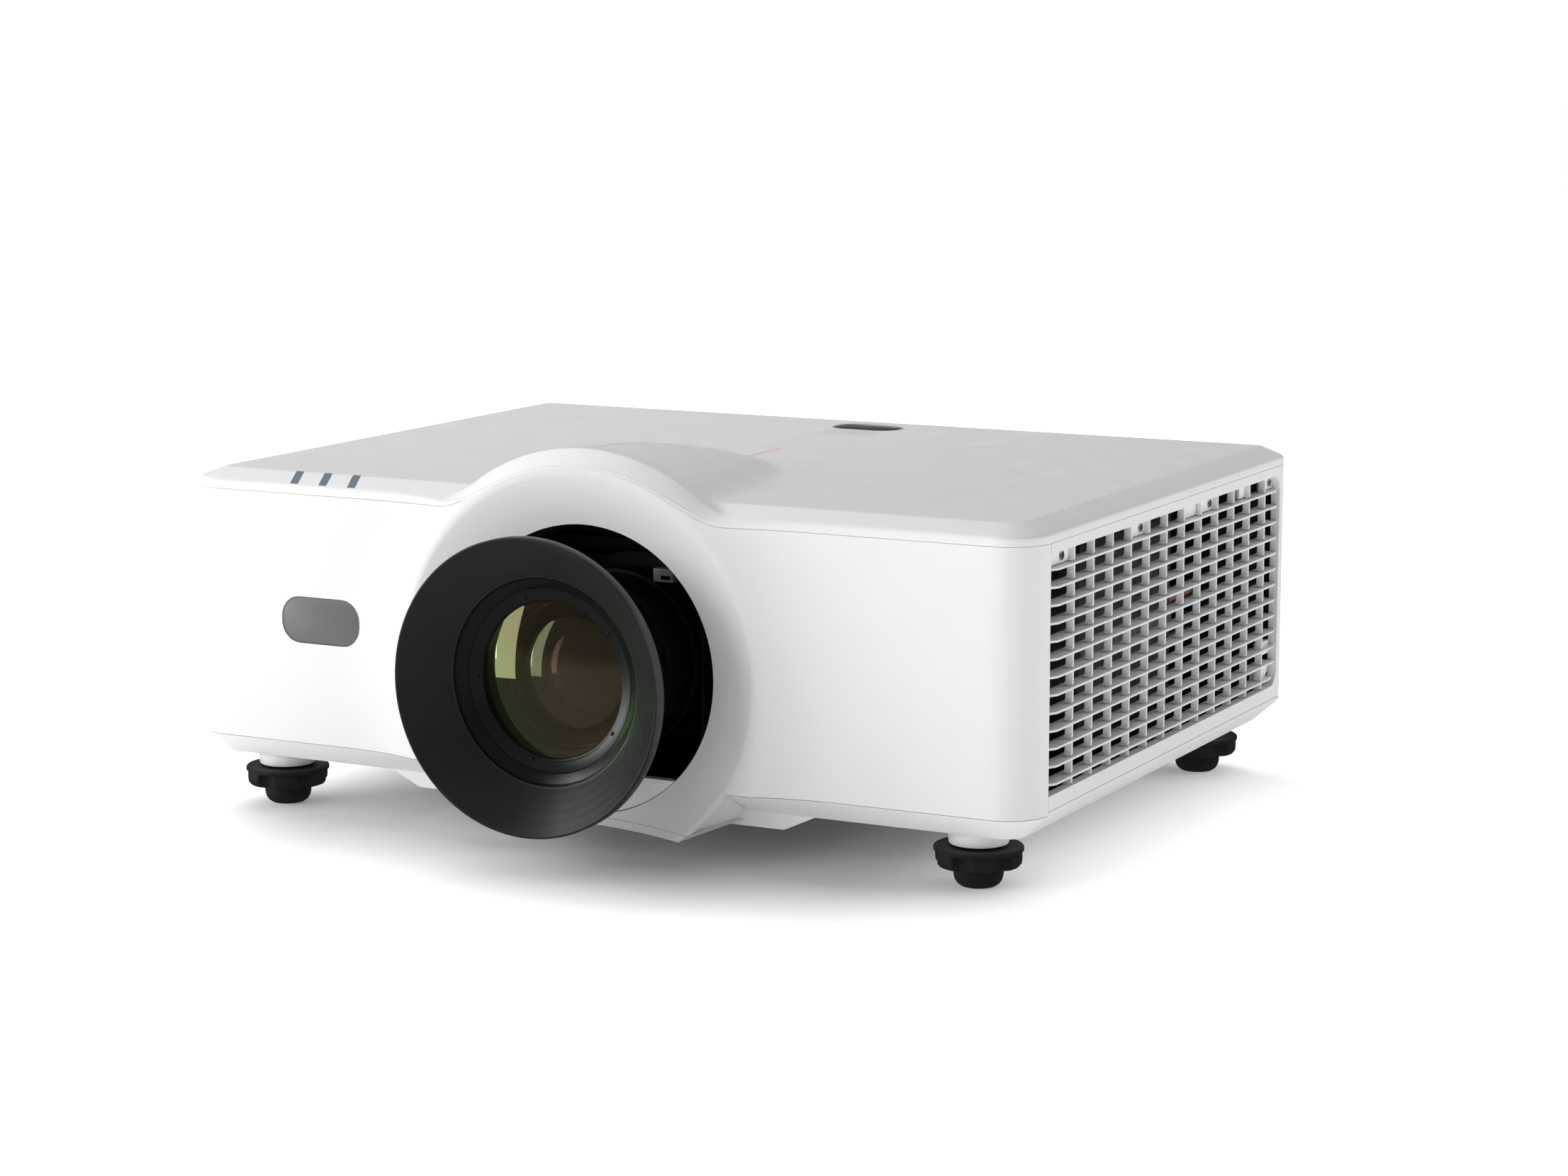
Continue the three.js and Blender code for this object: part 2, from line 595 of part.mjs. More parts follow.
// Drive ring round the barrel: plain grip with a toothed sector that faces the pinion at rest.
function toothedRing(y) {
  const middle = (motorAngle / 360) * ringTeeth;
  const outline = teethOutline(ringTeeth, middle - sectorTeeth, middle + sectorTeeth);
  const inner = [outline[outline.length - 1], outline[0]].map(([u, v]) => {
    const length = Math.hypot(u, v);
    return [(45.4 * u) / length, (45.4 * v) / length];
  });
  const sector = prism([...outline, ...inner], 'xz', y + 1, y + 7)
    .subtract(turnedY(discProfile(45.4, y, y + 8), 0, 0, 36));
  return sector.add(turnedY(tubeProfile(44.4, 46.4, y, y + ringLength), 0, 0, 36));
}

// The pinion stands at the motor angle with a gap between two teeth facing the ring's middle tooth.
function pinion(y) {
  const facing = ((motorAngle - 180) / 360) * pinionTeeth;
  const outline = teethOutline(pinionTeeth, 0, pinionTeeth - 1, (facing + 0.5) % 1);
  return prism(outline, 'xz', y + 0.5, y + 7.5).add(turnedY(discProfile(2, y - 0.6, y + 14), 0, 0, 12));
}

function motorBody(y) {
  const can = turnedY(discProfile(9, y, y + 14), 0, 0, 20);
  return can.subtract(turnedY(discProfile(2.4, y - 1, y + 6), 0, 0, 12));
}

function motorSpot() {
  const a = THREE.MathUtils.degToRad(motorAngle);
  return [gearReach * Math.cos(a), 0, lensZ + gearReach * Math.sin(a)];
}

function lensMountPlate() {
  const plate = box(-62, 62, mountY, mountY + 4, lensZ - 48, lensZ + 48);
  return plate.subtract(turnedY(discProfile(29, mountY - 1, mountY + 5), 0, lensZ, 32));
}

function shiftCarriage() {
  const y = mountY + 4 + gap;
  const plate = box(-72, 72, y, y + 4, lensZ - 46, lensZ + 46);
  const window = turnedY(discProfile(36, y - 1, y + 5), 0, lensZ, 32);
  const rails = [-56, 52].map((z) => box(-72, 72, y - 4, y + 4, lensZ + z, lensZ + z + 5));
  const ties = [-56, 44].map((z) => box(-72, 72, y, y + 4, lensZ + z, lensZ + z + 12));
  return joinAll([plate, ...ties, ...rails]).subtract(window);
}

const releaseSpot = [34, frontY + 20, 141];

function lensBayShroud() {
  const [y0, y1] = [frontY + 17, frontY + 58];
  const duct = box(-72, 72, y0, y1, 32.5, 167).subtract(box(-70, 70, y0 - 1, y1 + 1, 34, 165));
  const [x, y, z] = releaseSpot;
  const fork = box(x - 6, x + 6, y + 9, y + 12, z - 2.4, 166)
    .subtract(box(x - 3.4, x + 3.4, y + 8, y + 13, z - 3, z + 2.4));
  return duct.add(fork);
}

// ---------------------------------------------------------------- light engine and cooling
const engineY = mountY + 22;
const sinkY0 = frontY + 108;
const sinkY1 = frontY + 234;
const wheelSpot = [-30, engineY + 92, 108];

function lightEngine() {
  const housing = box(-66, 74, engineY, engineY + 140, 44, 146);
  const snout = turnedY(tubeProfile(22, 27, engineY - 9, engineY + 5), 0, lensZ, 32);
  const port = turnedY(discProfile(22, engineY - 1, engineY + 24), 0, lensZ, 32);
  const wheelBay = box(wheelSpot[0] - 34, wheelSpot[0] + 34, wheelSpot[1] - 12, wheelSpot[1] + 22, 70, 147);
  const step = box(-67, -30, engineY - 1, engineY + 40, 108, 147);
  const guides = [[-66, 107], [60, 144]].map(([x, top]) => box(x, x + 6, engineY - 10, engineY + 1, 46, top));
  return cutAll(joinAll([housing, snout, ...guides]), [port, wheelBay, step]);
}

function phosphorWheel() {
  return turnedY([[0, -6], [9, -6], [9, -1], [29, -1], [29, 0.5], [0, 0.5]], 0, 0, 28);
}

function combSink(x0, x1, y0, y1, base, pitch, thickness, z0, z1) {
  const count = Math.floor((y1 - y0 - thickness) / pitch) + 1;
  const points = [[x0, y0]];
  for (let i = 0; i < count; i += 1) {
    const y = y0 + i * pitch;
    const next = i === count - 1 ? y + thickness : y + pitch;
    points.push([x1, y], [x1, y + thickness]);
    if (i < count - 1) points.push([x0 + base, y + thickness], [x0 + base, next]);
  }
  points.push([x0, y0 + (count - 1) * pitch + thickness]);
  return prism(points, 'xy', z0, z1);
}

const pipeLevels = [88, 110];

function heatPipe(z) {
  const r = 3;
  const path = new THREE.CatmullRomCurve3([
    [150, sinkY1 + 52], [185, sinkY1 + 52], [206, sinkY1 + 48], [214, sinkY1 + 34], [214, sinkY1 + 16],
    [214, sinkY1 + 2.5],
  ].map(([x, y]) => new THREE.Vector3(x, y, z)), false, 'centripetal');
  const section = new THREE.Shape(arc(0, 0, r, 0, 315, 7).map(([u, v]) => new THREE.Vector2(u, v)));
  const tube = new THREE.ExtrudeGeometry(section, { steps: 14, bevelEnabled: false, extrudePath: path });
  return toSolid(tube);
}

function laserModule() {
  const body = box(92, 148, sinkY1 + 18, sinkY1 + 78, 60, 140);
  const fins = Array.from({ length: 6 }, (_, i) => {
    const y = sinkY1 + 24 + i * 9;
    return box(89, 148, y, y + 3, 139, 146);
  });
  return joinAll([body, ...fins]);
}

const fanSpot = [112, (sinkY0 + sinkY1) / 2, 100];

function fanFrame() {
  const [x0, x1] = [-12.5, 12.5];
  const frame = box(x0, x1, -46, 46, -46, 46);
  const bore = alongX(discProfile(42.5, x0 - 1, x1 + 1), 40);
  const spokes = [0, 60, 120].map((angle) => box(x0, x0 + 3, -44, 44, -2, 2).rotate([angle, 0, 0]));
  const hub = alongX(discProfile(14, x0, x0 + 3), 24);
  return joinAll([frame.subtract(bore), hub, ...spokes]);
}

function fanRotor() {
  const hub = alongX(discProfile(16, -8.5, 11), 24);
  const blades = Array.from({ length: 7 }, (_, i) => box(-0.9, 0.9, 14, 40.5, -8, 8)
    .rotate([0, 32, 0]).rotate([(i * 360) / 7, 0, 0]).translate([1, 0, 0]));
  return joinAll([hub, ...blades]);
}

function alongX(profile, segments) {
  return turnedY(profile, 0, 0, segments).rotate([0, 0, -90]);
}

// ---------------------------------------------------------------- electronics
function mainBoard() {
  const z = 152;
  const board = box(-205, 80, frontY + 200, rearY - 22, z, z + 1.6);
  const chips = [[-150, 40, 30], [-90, 70, 34], [-30, 45, 26], [30, 60, 22]]
    .map(([x, y, s]) => box(x, x + s, frontY + 200 + y - 20, frontY + 200 + y - 20 + s, z + 1, z + 5));
  return joinAll([board, ...chips]);
}

function powerSupply() {
  const cage = box(-214, -106, frontY + 84, frontY + 250, 36, 100);
  const slots = Array.from({ length: 6 }, (_, i) => {
    const y = frontY + 100 + i * 22;
    return box(-215, -213, y, y + 12, 50, 86);
  });
  return cutAll(cage, slots);
}

// ---------------------------------------------------------------- rear connectors and controls
const portDeep = 14;

function socketBlock(x, z, w, h, deep, tongueH) {
  const front = rearY - 1.6;
  const shell = box(x - w / 2 - 1.2, x + w / 2 + 1.2, front - deep, front, z - h / 2 - 1.2, z + h / 2 + 1.2);
  const mouth = box(x - w / 2, x + w / 2, front - deep + 2, front + 1, z - h / 2, z + h / 2);
  const open = shell.subtract(mouth);
  if (!tongueH) return open;
  const reach = w / 2 - 1.5;
  return open.add(box(x - reach, x + reach, front - deep + 1, front - 1, z - tongueH / 2, z + tongueH / 2));
}

const ports = [
  ['hdmi_port_1', -170, 82, 14.5, 5, 1.2], ['hdmi_port_2', -142, 82, 14.5, 5, 1.2],
  ['lan_port', -110, 83, 13, 11, 0],
];
const serialX = -66;
const portZ = 82;

function connectorPlate() {
  const y0 = rearY - 4.6;
  const plate = box(plateX0 + gap, plateX1 - gap, y0, y0 + 1.2, plateZ0 + gap, plateZ1 - gap);
  const holes = ports.map(([, x, z, w, h]) => box(x - w / 2 - 1.5, x + w / 2 + 1.5, y0 - 1, y0 + 3,
    z - h / 2 - 1.5, z + h / 2 + 1.5));
  const serial = box(serialX - 13, serialX + 13, y0 - 1, y0 + 3, portZ - 6.5, portZ + 6.5);
  return cutAll(plate, [...holes, serial]);
}

function serialPort() {
  const front = rearY - 0.8;
  const shell = (grow, y0, y1) => prism([
    [-8.3 - grow, 4.2 + grow], [-7.2 - grow, -4.2 - grow], [7.2 + grow, -4.2 - grow], [8.3 + grow, 4.2 + grow],
  ], 'xz', y0, y1).translate([serialX, 0, portZ]);
  const flange = box(serialX - 12.6, serialX + 12.6, front - 9, front - 5.2, portZ - 6.2, portZ + 6.2);
  const collar = shell(0.6, front - 6, front - 0.6).subtract(shell(0, front - 5.4, front + 1));
  const pins = Array.from({ length: 9 }, (_, i) => {
    const [x, z] = [serialX - 5.52 + i * 1.38, portZ + (i % 2 === 0 ? 1.42 : -1.42)];
    return box(x - 0.5, x + 0.5, front - 6, front - 1.6, z - 0.5, z + 0.5);
  });
  return joinAll([flange, collar, ...pins]);
}

// Mains inlet module: a socket with three blade contacts, and beside it the well of the rocker switch.
const rockerX = inletX + 28;

function acInlet() {
  const body = box(inletX - 14.6, rockerX + 12.4, rearY - 24, rearY, inletZ - 10.6, inletZ + 10.6);
  const socket = prism([[-12, -8], [12, -8], [12, 4], [7.5, 8], [-7.5, 8], [-12, 4]]
    .map(([u, v]) => [u + inletX, v + inletZ]), 'xz', rearY - 17, rearY + 1);
  const blades = [[-7, -1.5], [0, 3], [7, -1.5]].map(([u, v]) => {
    const [x, z] = [inletX + u, inletZ + v];
    return box(x - 1, x + 1, rearY - 18, rearY - 5, z - 2.5, z + 2.5);
  });
  const well = box(rockerX - 9, rockerX + 9, rearY - 13, rearY + 1, inletZ - 7.4, inletZ + 7.4);
  return joinAll([cutAll(body, [socket, well]), ...blades]);
}

function powerSwitch() {
  const outline = [[-1.6, -6.6], [-2.8, 0], [-0.2, 6.6], [-5.5, 6.2], [-9, 2], [-9, -2], [-5.5, -6.2]];
  return prism(outline, 'yz', -8.6, 8.6);
}

const keySize = 10;
const keys = [
  ['power_button', -46, 0, 12], ['source_button', -24, 8, keySize], ['menu_button', -24, -8, keySize],
  ['up_button', 8, 12.5, keySize - 1], ['down_button', 8, -12.5, keySize - 1],
  ['left_button', -6, 0, keySize], ['right_button', 22, 0, keySize], ['enter_button', 8, 0, keySize],
];

function keyOutline(size, grow) {
  return arc(0, 0, size / 2 + grow, 0, 330, 11);
}

function keypadPanel() {
  const holes = keys.map(([, x, z, size]) => keyOutline(size, gap + 0.1)
    .map(([u, v]) => [keypadX + x + u, keypadZ + z + v]));
  return prism(keypadOutline(gap), 'xz', rearY - 4.4, rearY - 1.6, holes);
}

function key(size) {
  const cap = prism(keyOutline(size, 0), 'xz', -4.9, -0.1);
  return cap.add(prism(keyOutline(size, 1.4), 'xz', -6.4, -4.8));
}

function releaseButton() {
  return box(-5.7, 5.7, 0, 5, -3.5, 3.5).add(box(-3, 3, 4.5, 19, -2, 2));
}

// ---------------------------------------------------------------- assembly
place('top_cover', topCover(), whitePlastic);
place('front_panel', frontPanel(), whitePlastic);
place('base_tray', baseTray(), whitePlastic);
place('right_side_panel', rightSidePanel(), whitePlastic);
place('right_grille', rightGrille(), whitePlastic);
place('left_side_panel', leftSidePanel(), whitePlastic);
place('filter_cover', filterCover(), whitePlastic);
place('air_filter', airFilter(), filterFoam);
place('rear_panel', rearPanel(), whitePlastic);

place('front_ir_window', frontWindow(), smokedPlastic);
place('top_ir_window', topWindow(), smokedPlastic);
place('status_light_pipes', statusLightPipes(), lightPipe);

const footNames = ['front_left', 'front_right', 'rear_left', 'rear_right'];
footSpots.forEach(([x, y], i) => {
  const foot = new THREE.Group();
  foot.position.set(x, y, 0);
  projector.add(foot);
  place(`${footNames[i]}_foot_knob`, footKnob(), blackRubber, [0, 0, 0], foot);
  place(`${footNames[i]}_foot_pad`, footPad(), blackRubber, [0, 0, 0], foot);
});

place('lens_hood', lensHood(), blackPlastic);
place('lens_barrel', lensBarrel(), blackMetal);
place('front_lens', glassElement(39, frontY - 34, frontY - 28, frontY - 23), glassLike);
place('lens_retaining_ring', retainingRing(), blackMetal);
[['focus', focusY], ['zoom', zoomY]].forEach(([name, y]) => {
  place(`${name}_ring`, toothedRing(y), blackMetal, [0, 0, lensZ]);
  place(`${name}_pinion`, pinion(y), steel, motorSpot());
  place(`${name}_motor`, motorBody(y + 8.2), aluminium, motorSpot());
});
place('lens_mount_plate', lensMountPlate(), aluminium);
place('shift_carriage', shiftCarriage(), steel);
place('lens_bay_shroud', lensBayShroud(), blackPlastic);
place('lens_release_button', releaseButton(), greyPlastic, releaseSpot);

place('light_engine', lightEngine(), blackMetal);
place('phosphor_wheel', phosphorWheel(), aluminium, wheelSpot);
place('laser_heatsink', combSink(128, 222, sinkY0, sinkY1, 5, 4.2, 1, 52, 160), aluminium);
place('laser_module', laserModule(), blackMetal);
pipeLevels.forEach((z, i) => place(`heat_pipe_${i + 1}`, heatPipe(z), copper));
place('fan_frame', fanFrame(), blackPlastic, fanSpot);
place('fan_rotor', fanRotor(), blackPlastic, fanSpot);
place('main_board', mainBoard(), boardGreen);
place('power_supply', powerSupply(), steel);

place('connector_plate', connectorPlate(), blackMetal);
ports.forEach(([name, x, z, w, h, tongue]) => place(name, socketBlock(x, z, w, h, portDeep, tongue), steel));
place('serial_port', serialPort(), steel);
place('ac_inlet', acInlet(), blackPlastic);
place('power_switch', powerSwitch(), blackPlastic, [rockerX, rearY, inletZ]);
place('keypad_panel', keypadPanel(), greyPlastic);
keys.forEach(([name, x, z, size]) => place(name, key(size), whitePlastic, [keypadX + x, rearY, keypadZ + z]));

export default projector;
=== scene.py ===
import math

import bmesh
import bpy
import numpy as np
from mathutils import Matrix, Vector
from mathutils.geometry import delaunay_2d_cdt


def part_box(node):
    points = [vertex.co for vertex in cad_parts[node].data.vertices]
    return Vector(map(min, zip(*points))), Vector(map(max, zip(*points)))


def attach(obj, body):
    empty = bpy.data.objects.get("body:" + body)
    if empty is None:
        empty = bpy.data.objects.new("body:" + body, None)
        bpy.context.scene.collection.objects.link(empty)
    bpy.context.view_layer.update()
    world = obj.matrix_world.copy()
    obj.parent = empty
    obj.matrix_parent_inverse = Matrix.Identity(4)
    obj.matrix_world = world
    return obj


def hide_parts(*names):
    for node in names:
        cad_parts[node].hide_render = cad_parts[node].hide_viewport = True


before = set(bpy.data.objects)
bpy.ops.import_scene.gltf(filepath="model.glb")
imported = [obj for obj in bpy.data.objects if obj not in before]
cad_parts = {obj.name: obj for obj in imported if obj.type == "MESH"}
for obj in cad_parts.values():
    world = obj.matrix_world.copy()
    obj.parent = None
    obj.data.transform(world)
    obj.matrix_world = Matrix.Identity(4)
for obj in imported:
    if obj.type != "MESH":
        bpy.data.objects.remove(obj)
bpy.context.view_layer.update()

# ---------------------------------------------------------------- dimensions, in millimetres
MM = 0.001


def box_mm(node):
    """Lowest and highest corner of a CAD node, in millimetres."""
    low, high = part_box(node)
    return np.array(low) / MM, np.array(high) / MM


RING_PROUD = 8.3                # the lens ring's edge stands this far in front of the front face
RING_R = 98.6                   # outer edge of the dished ring round the lens
HOLE_R = 73.0                   # lens opening
FAIRING_R = 152.0               # where the swell round the ring dies out
SILL_Z = 42.3                   # flat lower edge of the lens opening
ARCH_R, ARCH_Z = 104.3, 91.4    # seam of the top cover over the ring
CREST_R, CREST_Z = 107.6, 97.1  # front edge of the dome
CORNER_R = 21.7                 # upright front corners
REAR_CORNER_R = 3.0
TOP_INSET = 13.6                # horizontal run of the top chamfer
CHAMFER_DROP = 5.1
TRAY_INSET = 11.5               # run of the bottom chamfer
PARTING_Z = 171.3               # seam under the top cover
SIDE_Z = 42.2                   # lower edge of the side and rear walls
FACE_Z = 40.5                   # lower edge of the front face
UNDER_Z = 29.0                  # underside of the tray
SKIN = 2.4                      # wall thickness
SEAM = 0.12                     # half the gap between the cover and what it sits on
DOME_START, DOME_LENGTH = 10.0, 162.0               # where the dome begins behind the front face, and its run
DOME_RISE, DOME_REACH = 23.0, 61.0                  # its height over the flat top and its half width there

HALF = box_mm("top_cover")[1][0]
FRONT = box_mm("front_panel")[0][1] + RING_PROUD
REAR = box_mm("rear_panel")[1][1]
TOP_Z = box_mm("top_ir_window")[1][2] + 0.3
SHOULDER_Z = TOP_Z - CHAMFER_DROP
LENS_Z = float(sum(c[2] for c in box_mm("lens_hood")) / 2)
FLAT_U = HALF - CORNER_R                            # wall path: end of the flat front
SIDE_U = FLAT_U + CORNER_R * math.pi / 2            # start of the flat side
REAR_U = SIDE_U + (REAR - REAR_CORNER_R) - (FRONT + CORNER_R)
END_U = REAR_U + REAR_CORNER_R * math.pi / 2


# ---------------------------------------------------------------- shape functions
def smooth_max(a, b, k):
    """The larger value, blended over a range k where the two are close."""
    h = np.maximum(k - np.abs(a - b), 0) / k
    return np.maximum(a, b) + h * h * k / 4


def smooth_min(a, b, k):
    return -smooth_max(-a, -b, k)


def smooth_step(t):
    t = np.clip(t, 0, 1)
    return t * t * (3 - 2 * t)


def fairing(r):
    """Forward swell of the front face at a distance r from the lens axis."""
    t = np.clip((r - RING_R - 3) / (FAIRING_R - RING_R - 3), 0, 1)
    return RING_PROUD * (1 - t) ** 2.5


def seam_z(x):
    """Height of the seam under the top cover along the front."""
    arch = ARCH_Z + np.sqrt(np.maximum(ARCH_R**2 - x * x, 0))
    return smooth_max(np.full_like(arch, PARTING_Z), arch, 15.0)


def front_bulge(x):
    return fairing(np.hypot(x, seam_z(x) - LENS_Z))


def inset_distance(x, y):
    """Distance of a plan point in from the front and side edges."""
    qx = np.abs(x) - (HALF - CORNER_R)
    qy = (FRONT + CORNER_R) - y
    corner = CORNER_R - np.hypot(qx, qy)
    return np.where((qx > 0) & (qy > 0), corner, np.minimum(HALF - np.abs(x), y - FRONT))


def cover_height(x, y):
    """Outer surface of the top cover: chamfered top blended into the dome behind the lens ring."""
    depth = y - FRONT
    chamfer = SHOULDER_Z + CHAMFER_DROP * inset_distance(x, y) / TOP_INSET
    base = smooth_min(np.full_like(chamfer, TOP_Z), chamfer, 0.25)
    t = np.clip((depth - DOME_START) / DOME_LENGTH, 0, 1)
    rise = np.maximum(DOME_RISE * (1 - t**1.75), 0.02)
    reach = np.maximum(DOME_REACH * (1 - t**2.6) ** 0.75, 3)
    r = (reach**2 + rise**2) / (2 * rise)
    centre = TOP_Z + rise - r
    back = smooth_step((depth - 1) / 16)
    r = CREST_R + (r - CREST_R) * back
    centre = CREST_Z + (centre - CREST_Z) * back
    s = np.clip((depth + RING_PROUD) / (RING_PROUD + 1), 0, 1)
    lip = 0.62 * s + 0.38 * (1 - (1 - s) ** 2)
    r = np.where(depth < 1, ARCH_R + (CREST_R - ARCH_R) * lip, r)
    centre = np.where(depth < 1, ARCH_Z + (CREST_Z - ARCH_Z) * lip, centre)
    dome = centre + np.sqrt(np.maximum(r * r - x * x, 0))
    k = 15 + (5 - 15) * smooth_step((depth + 4) / 14)
    return smooth_max(base, dome, np.minimum(k, 0.4 * rise + 0.001))


def front_depth(x, z):
    """How far the front surface lies behind the front plane; negative in front of it."""
    r = np.hypot(x, z - LENS_Z)
    dish = -RING_PROUD + (RING_R - r) * RING_PROUD / (RING_R - HOLE_R)
    below = np.where(z < LENS_Z, 0.6, 1.0)
    swell = -fairing(np.hypot(x, below * (z - LENS_Z)))
    return np.where(r < RING_R, dish, swell)


def wall_point(u):
    """Plan point of the upright walls at path length u from the middle of the front, u < 0 to the left."""
    a = np.abs(u)
    front = np.clip((a - FLAT_U) / CORNER_R, 0, math.pi / 2)
    rear = np.clip((a - REAR_U) / REAR_CORNER_R, 0, math.pi / 2)
    x = np.minimum(a, FLAT_U) + CORNER_R * np.sin(front) - REAR_CORNER_R * (1 - np.cos(rear))
    x = x - np.maximum(a - END_U, 0)
    y = FRONT + CORNER_R * (1 - np.cos(front)) + np.clip(a - SIDE_U, 0, REAR_U - SIDE_U)
    y = y + REAR_CORNER_R * np.sin(rear)
    return np.sign(u) * x, y


# ---------------------------------------------------------------- outlines
def arc(cu, cv, r, start, end, steps):
    """Points on a circle between two angles in degrees."""
    angles = np.radians(np.linspace(start, end, steps + 1))
    return [(cu + r * math.cos(a), cv + r * math.sin(a)) for a in angles]


def rounded_rectangle(u0, u1, v0, v1, r, steps=6):
    """Anticlockwise outline with rounded corners."""
    corners = [(u1 - r, v0 + r, -90), (u1 - r, v1 - r, 0), (u0 + r, v1 - r, 90), (u0 + r, v0 + r, 180)]
    return [p for u, v, a in corners for p in arc(u, v, r, a, a + 90, steps)]


def dense(points, step, closed=True):
    """The same outline with no edge longer than step."""
    result = []
    ends = list(points[1:]) + ([points[0]] if closed else [])
    for (u0, v0), (u1, v1) in zip(points, ends):
        count = max(1, math.ceil(math.hypot(u1 - u0, v1 - v0) / step))
        result += [(u0 + (u1 - u0) * i / count, v0 + (v1 - v0) * i / count) for i in range(count)]
    return result if closed else result + [points[-1]]


def soften(points, r, closed=False, steps=3):
    """Rounds the corners of an outline or profile."""
    points = [np.array(p, float) for p in points]
    result = []
    for i, p in enumerate(points):
        if not closed and i in (0, len(points) - 1):
            result.append(tuple(p))
            continue
        before, after = points[i - 1] - p, points[(i + 1) % len(points)] - p
        cut_before = min(r, 0.45 * np.linalg.norm(before))
        cut_after = min(r, 0.45 * np.linalg.norm(after))
        a = p + before / np.linalg.norm(before) * cut_before
        b = p + after / np.linalg.norm(after) * cut_after
        for t in np.linspace(0, 1, steps + 1):
            result.append(tuple((1 - t) ** 2 * a + 2 * t * (1 - t) * p + t * t * b))
    return result


def offset(points, distance):
    """Moves a closed anticlockwise outline inwards by distance."""
    pts = np.array(points, float)
    ahead = np.roll(pts, -1, axis=0) - pts
    ahead /= np.maximum(np.linalg.norm(ahead, axis=1, keepdims=True), 1e-9)
    behind = np.roll(ahead, 1, axis=0)
    normal = np.stack([-(ahead + behind)[:, 1], (ahead + behind)[:, 0]], axis=1)
    normal /= np.maximum(np.linalg.norm(normal, axis=1, keepdims=True), 1e-9)
    cosine = np.maximum(np.sum(normal * np.stack([-ahead[:, 1], ahead[:, 0]], axis=1), axis=1), 0.5)
    return [tuple(p) for p in pts + normal * (distance / cosine)[:, None]]


def inside(points, loops):
    """True for each point inside the first loop and outside the others."""
    points = np.asarray(points, float)
    odd = np.zeros(len(points), bool)
    for loop in loops:
        p = np.array(loop, float)
        q = np.roll(p, -1, axis=0)
        for (u0, v0), (u1, v1) in zip(p, q):
            if v0 == v1:
                continue
            crosses = (points[:, 1] < v0) != (points[:, 1] < v1)
            at = u0 + (points[:, 1] - v0) * (u1 - u0) / (v1 - v0)
            odd ^= crosses & (points[:, 0] < at)
    return odd


def grid(u0, u1, v0, v1, du, dv):
    """Evenly spaced points over a rectangle, about du and dv apart."""
    us = np.linspace(u0, u1, max(2, round((u1 - u0) / du) + 1))
    vs = np.linspace(v0, v1, max(2, round((v1 - v0) / dv) + 1))
    return np.stack(np.meshgrid(us, vs), axis=-1).reshape(-1, 2)


def triangulate(loops, grids=(), lines=(), clearance=1.0):
    """Flat triangles inside the first loop and outside the rest: points, faces, each loop's new indices."""
    edges, fixed = [], []
    for loop in loops:
        start = len(fixed)
        fixed += [tuple(p) for p in loop]
        edges += [(start + i, start + (i + 1) % len(loop)) for i in range(len(loop))]
    for line in lines:
        start = len(fixed)
        fixed += [tuple(p) for p in line]
        edges += [(start + i, start + i + 1) for i in range(len(line) - 1)]
    points = list(fixed)
    if len(grids):
        spots = np.concatenate([np.asarray(g, float) for g in grids])
        spots = spots[inside(spots, loops)]
        near = np.array(fixed)
        gap = np.array([np.min(np.hypot(near[:, 0] - u, near[:, 1] - v)) for u, v in spots])
        points += [tuple(p) for p in spots[gap > clearance]]
    out = delaunay_2d_cdt([Vector(p) for p in points], edges, [], 0, 1e-5)
    flat = np.array([tuple(v) for v in out[0]])
    faces = np.array([f for f in out[2] if len(f) == 3])
    centres = flat[faces].mean(axis=1)
    faces = faces[inside(centres, loops)]
    new_index = {}
    for index, origins in enumerate(out[3]):
        for origin in origins:
            new_index[origin] = index
    rings, start = [], 0
    for loop in loops:
        rings.append([new_index[start + i] for i in range(len(loop))])
        start += len(loop)
    return flat, faces.tolist(), rings


# ---------------------------------------------------------------- solids: (points, faces) in millimetres
def volume(points, faces):
    total = 0.0
    for f in faces:
        for i in range(1, len(f) - 1):
            total += np.dot(points[f[0]], np.cross(points[f[i]], points[f[i + 1]]))
    return total


def outward(points, faces):
    """Turns a closed solid's faces to look outwards."""
    points = np.asarray(points, float)
    centred = points - points.mean(axis=0)
    return points, faces if volume(centred, faces) > 0 else [f[::-1] for f in faces]


def join(*solids):
    """Several solids as one list of points and faces."""
    points, faces, start = [], [], 0
    for p, f in solids:
        points.append(np.asarray(p, float))
        faces += [[i + start for i in face] for face in f]
        start += len(p)
    return np.concatenate(points), faces


def wall_faces(faces, count):
    """Faces of a closed wall: a skin, its copy whose points come count later, and the rim between them."""
    directed = {(f[i], f[(i + 1) % len(f)]) for f in faces for i in range(len(f))}
    rim = [[b, a, a + count, b + count] for a, b in directed if (b, a) not in directed]
    inner = [[i + count for i in f[::-1]] for f in faces]
    return [list(f) for f in faces] + inner + rim


def thicken(points, faces, thickness):
    """Turns an open skin into a closed wall by adding an inner copy and a rim."""
    points = np.asarray(points, float)
    normals = np.zeros_like(points)
    for f in faces:
        for i in range(1, len(f) - 1):
            n = np.cross(points[f[i]] - points[f[0]], points[f[i + 1]] - points[f[0]])
            for index in (f[0], f[i], f[i + 1]):
                normals[index] += n
    normals /= np.maximum(np.linalg.norm(normals, axis=1, keepdims=True), 1e-12)
    return np.concatenate([points, points - normals * thickness]), wall_faces(faces, len(points))


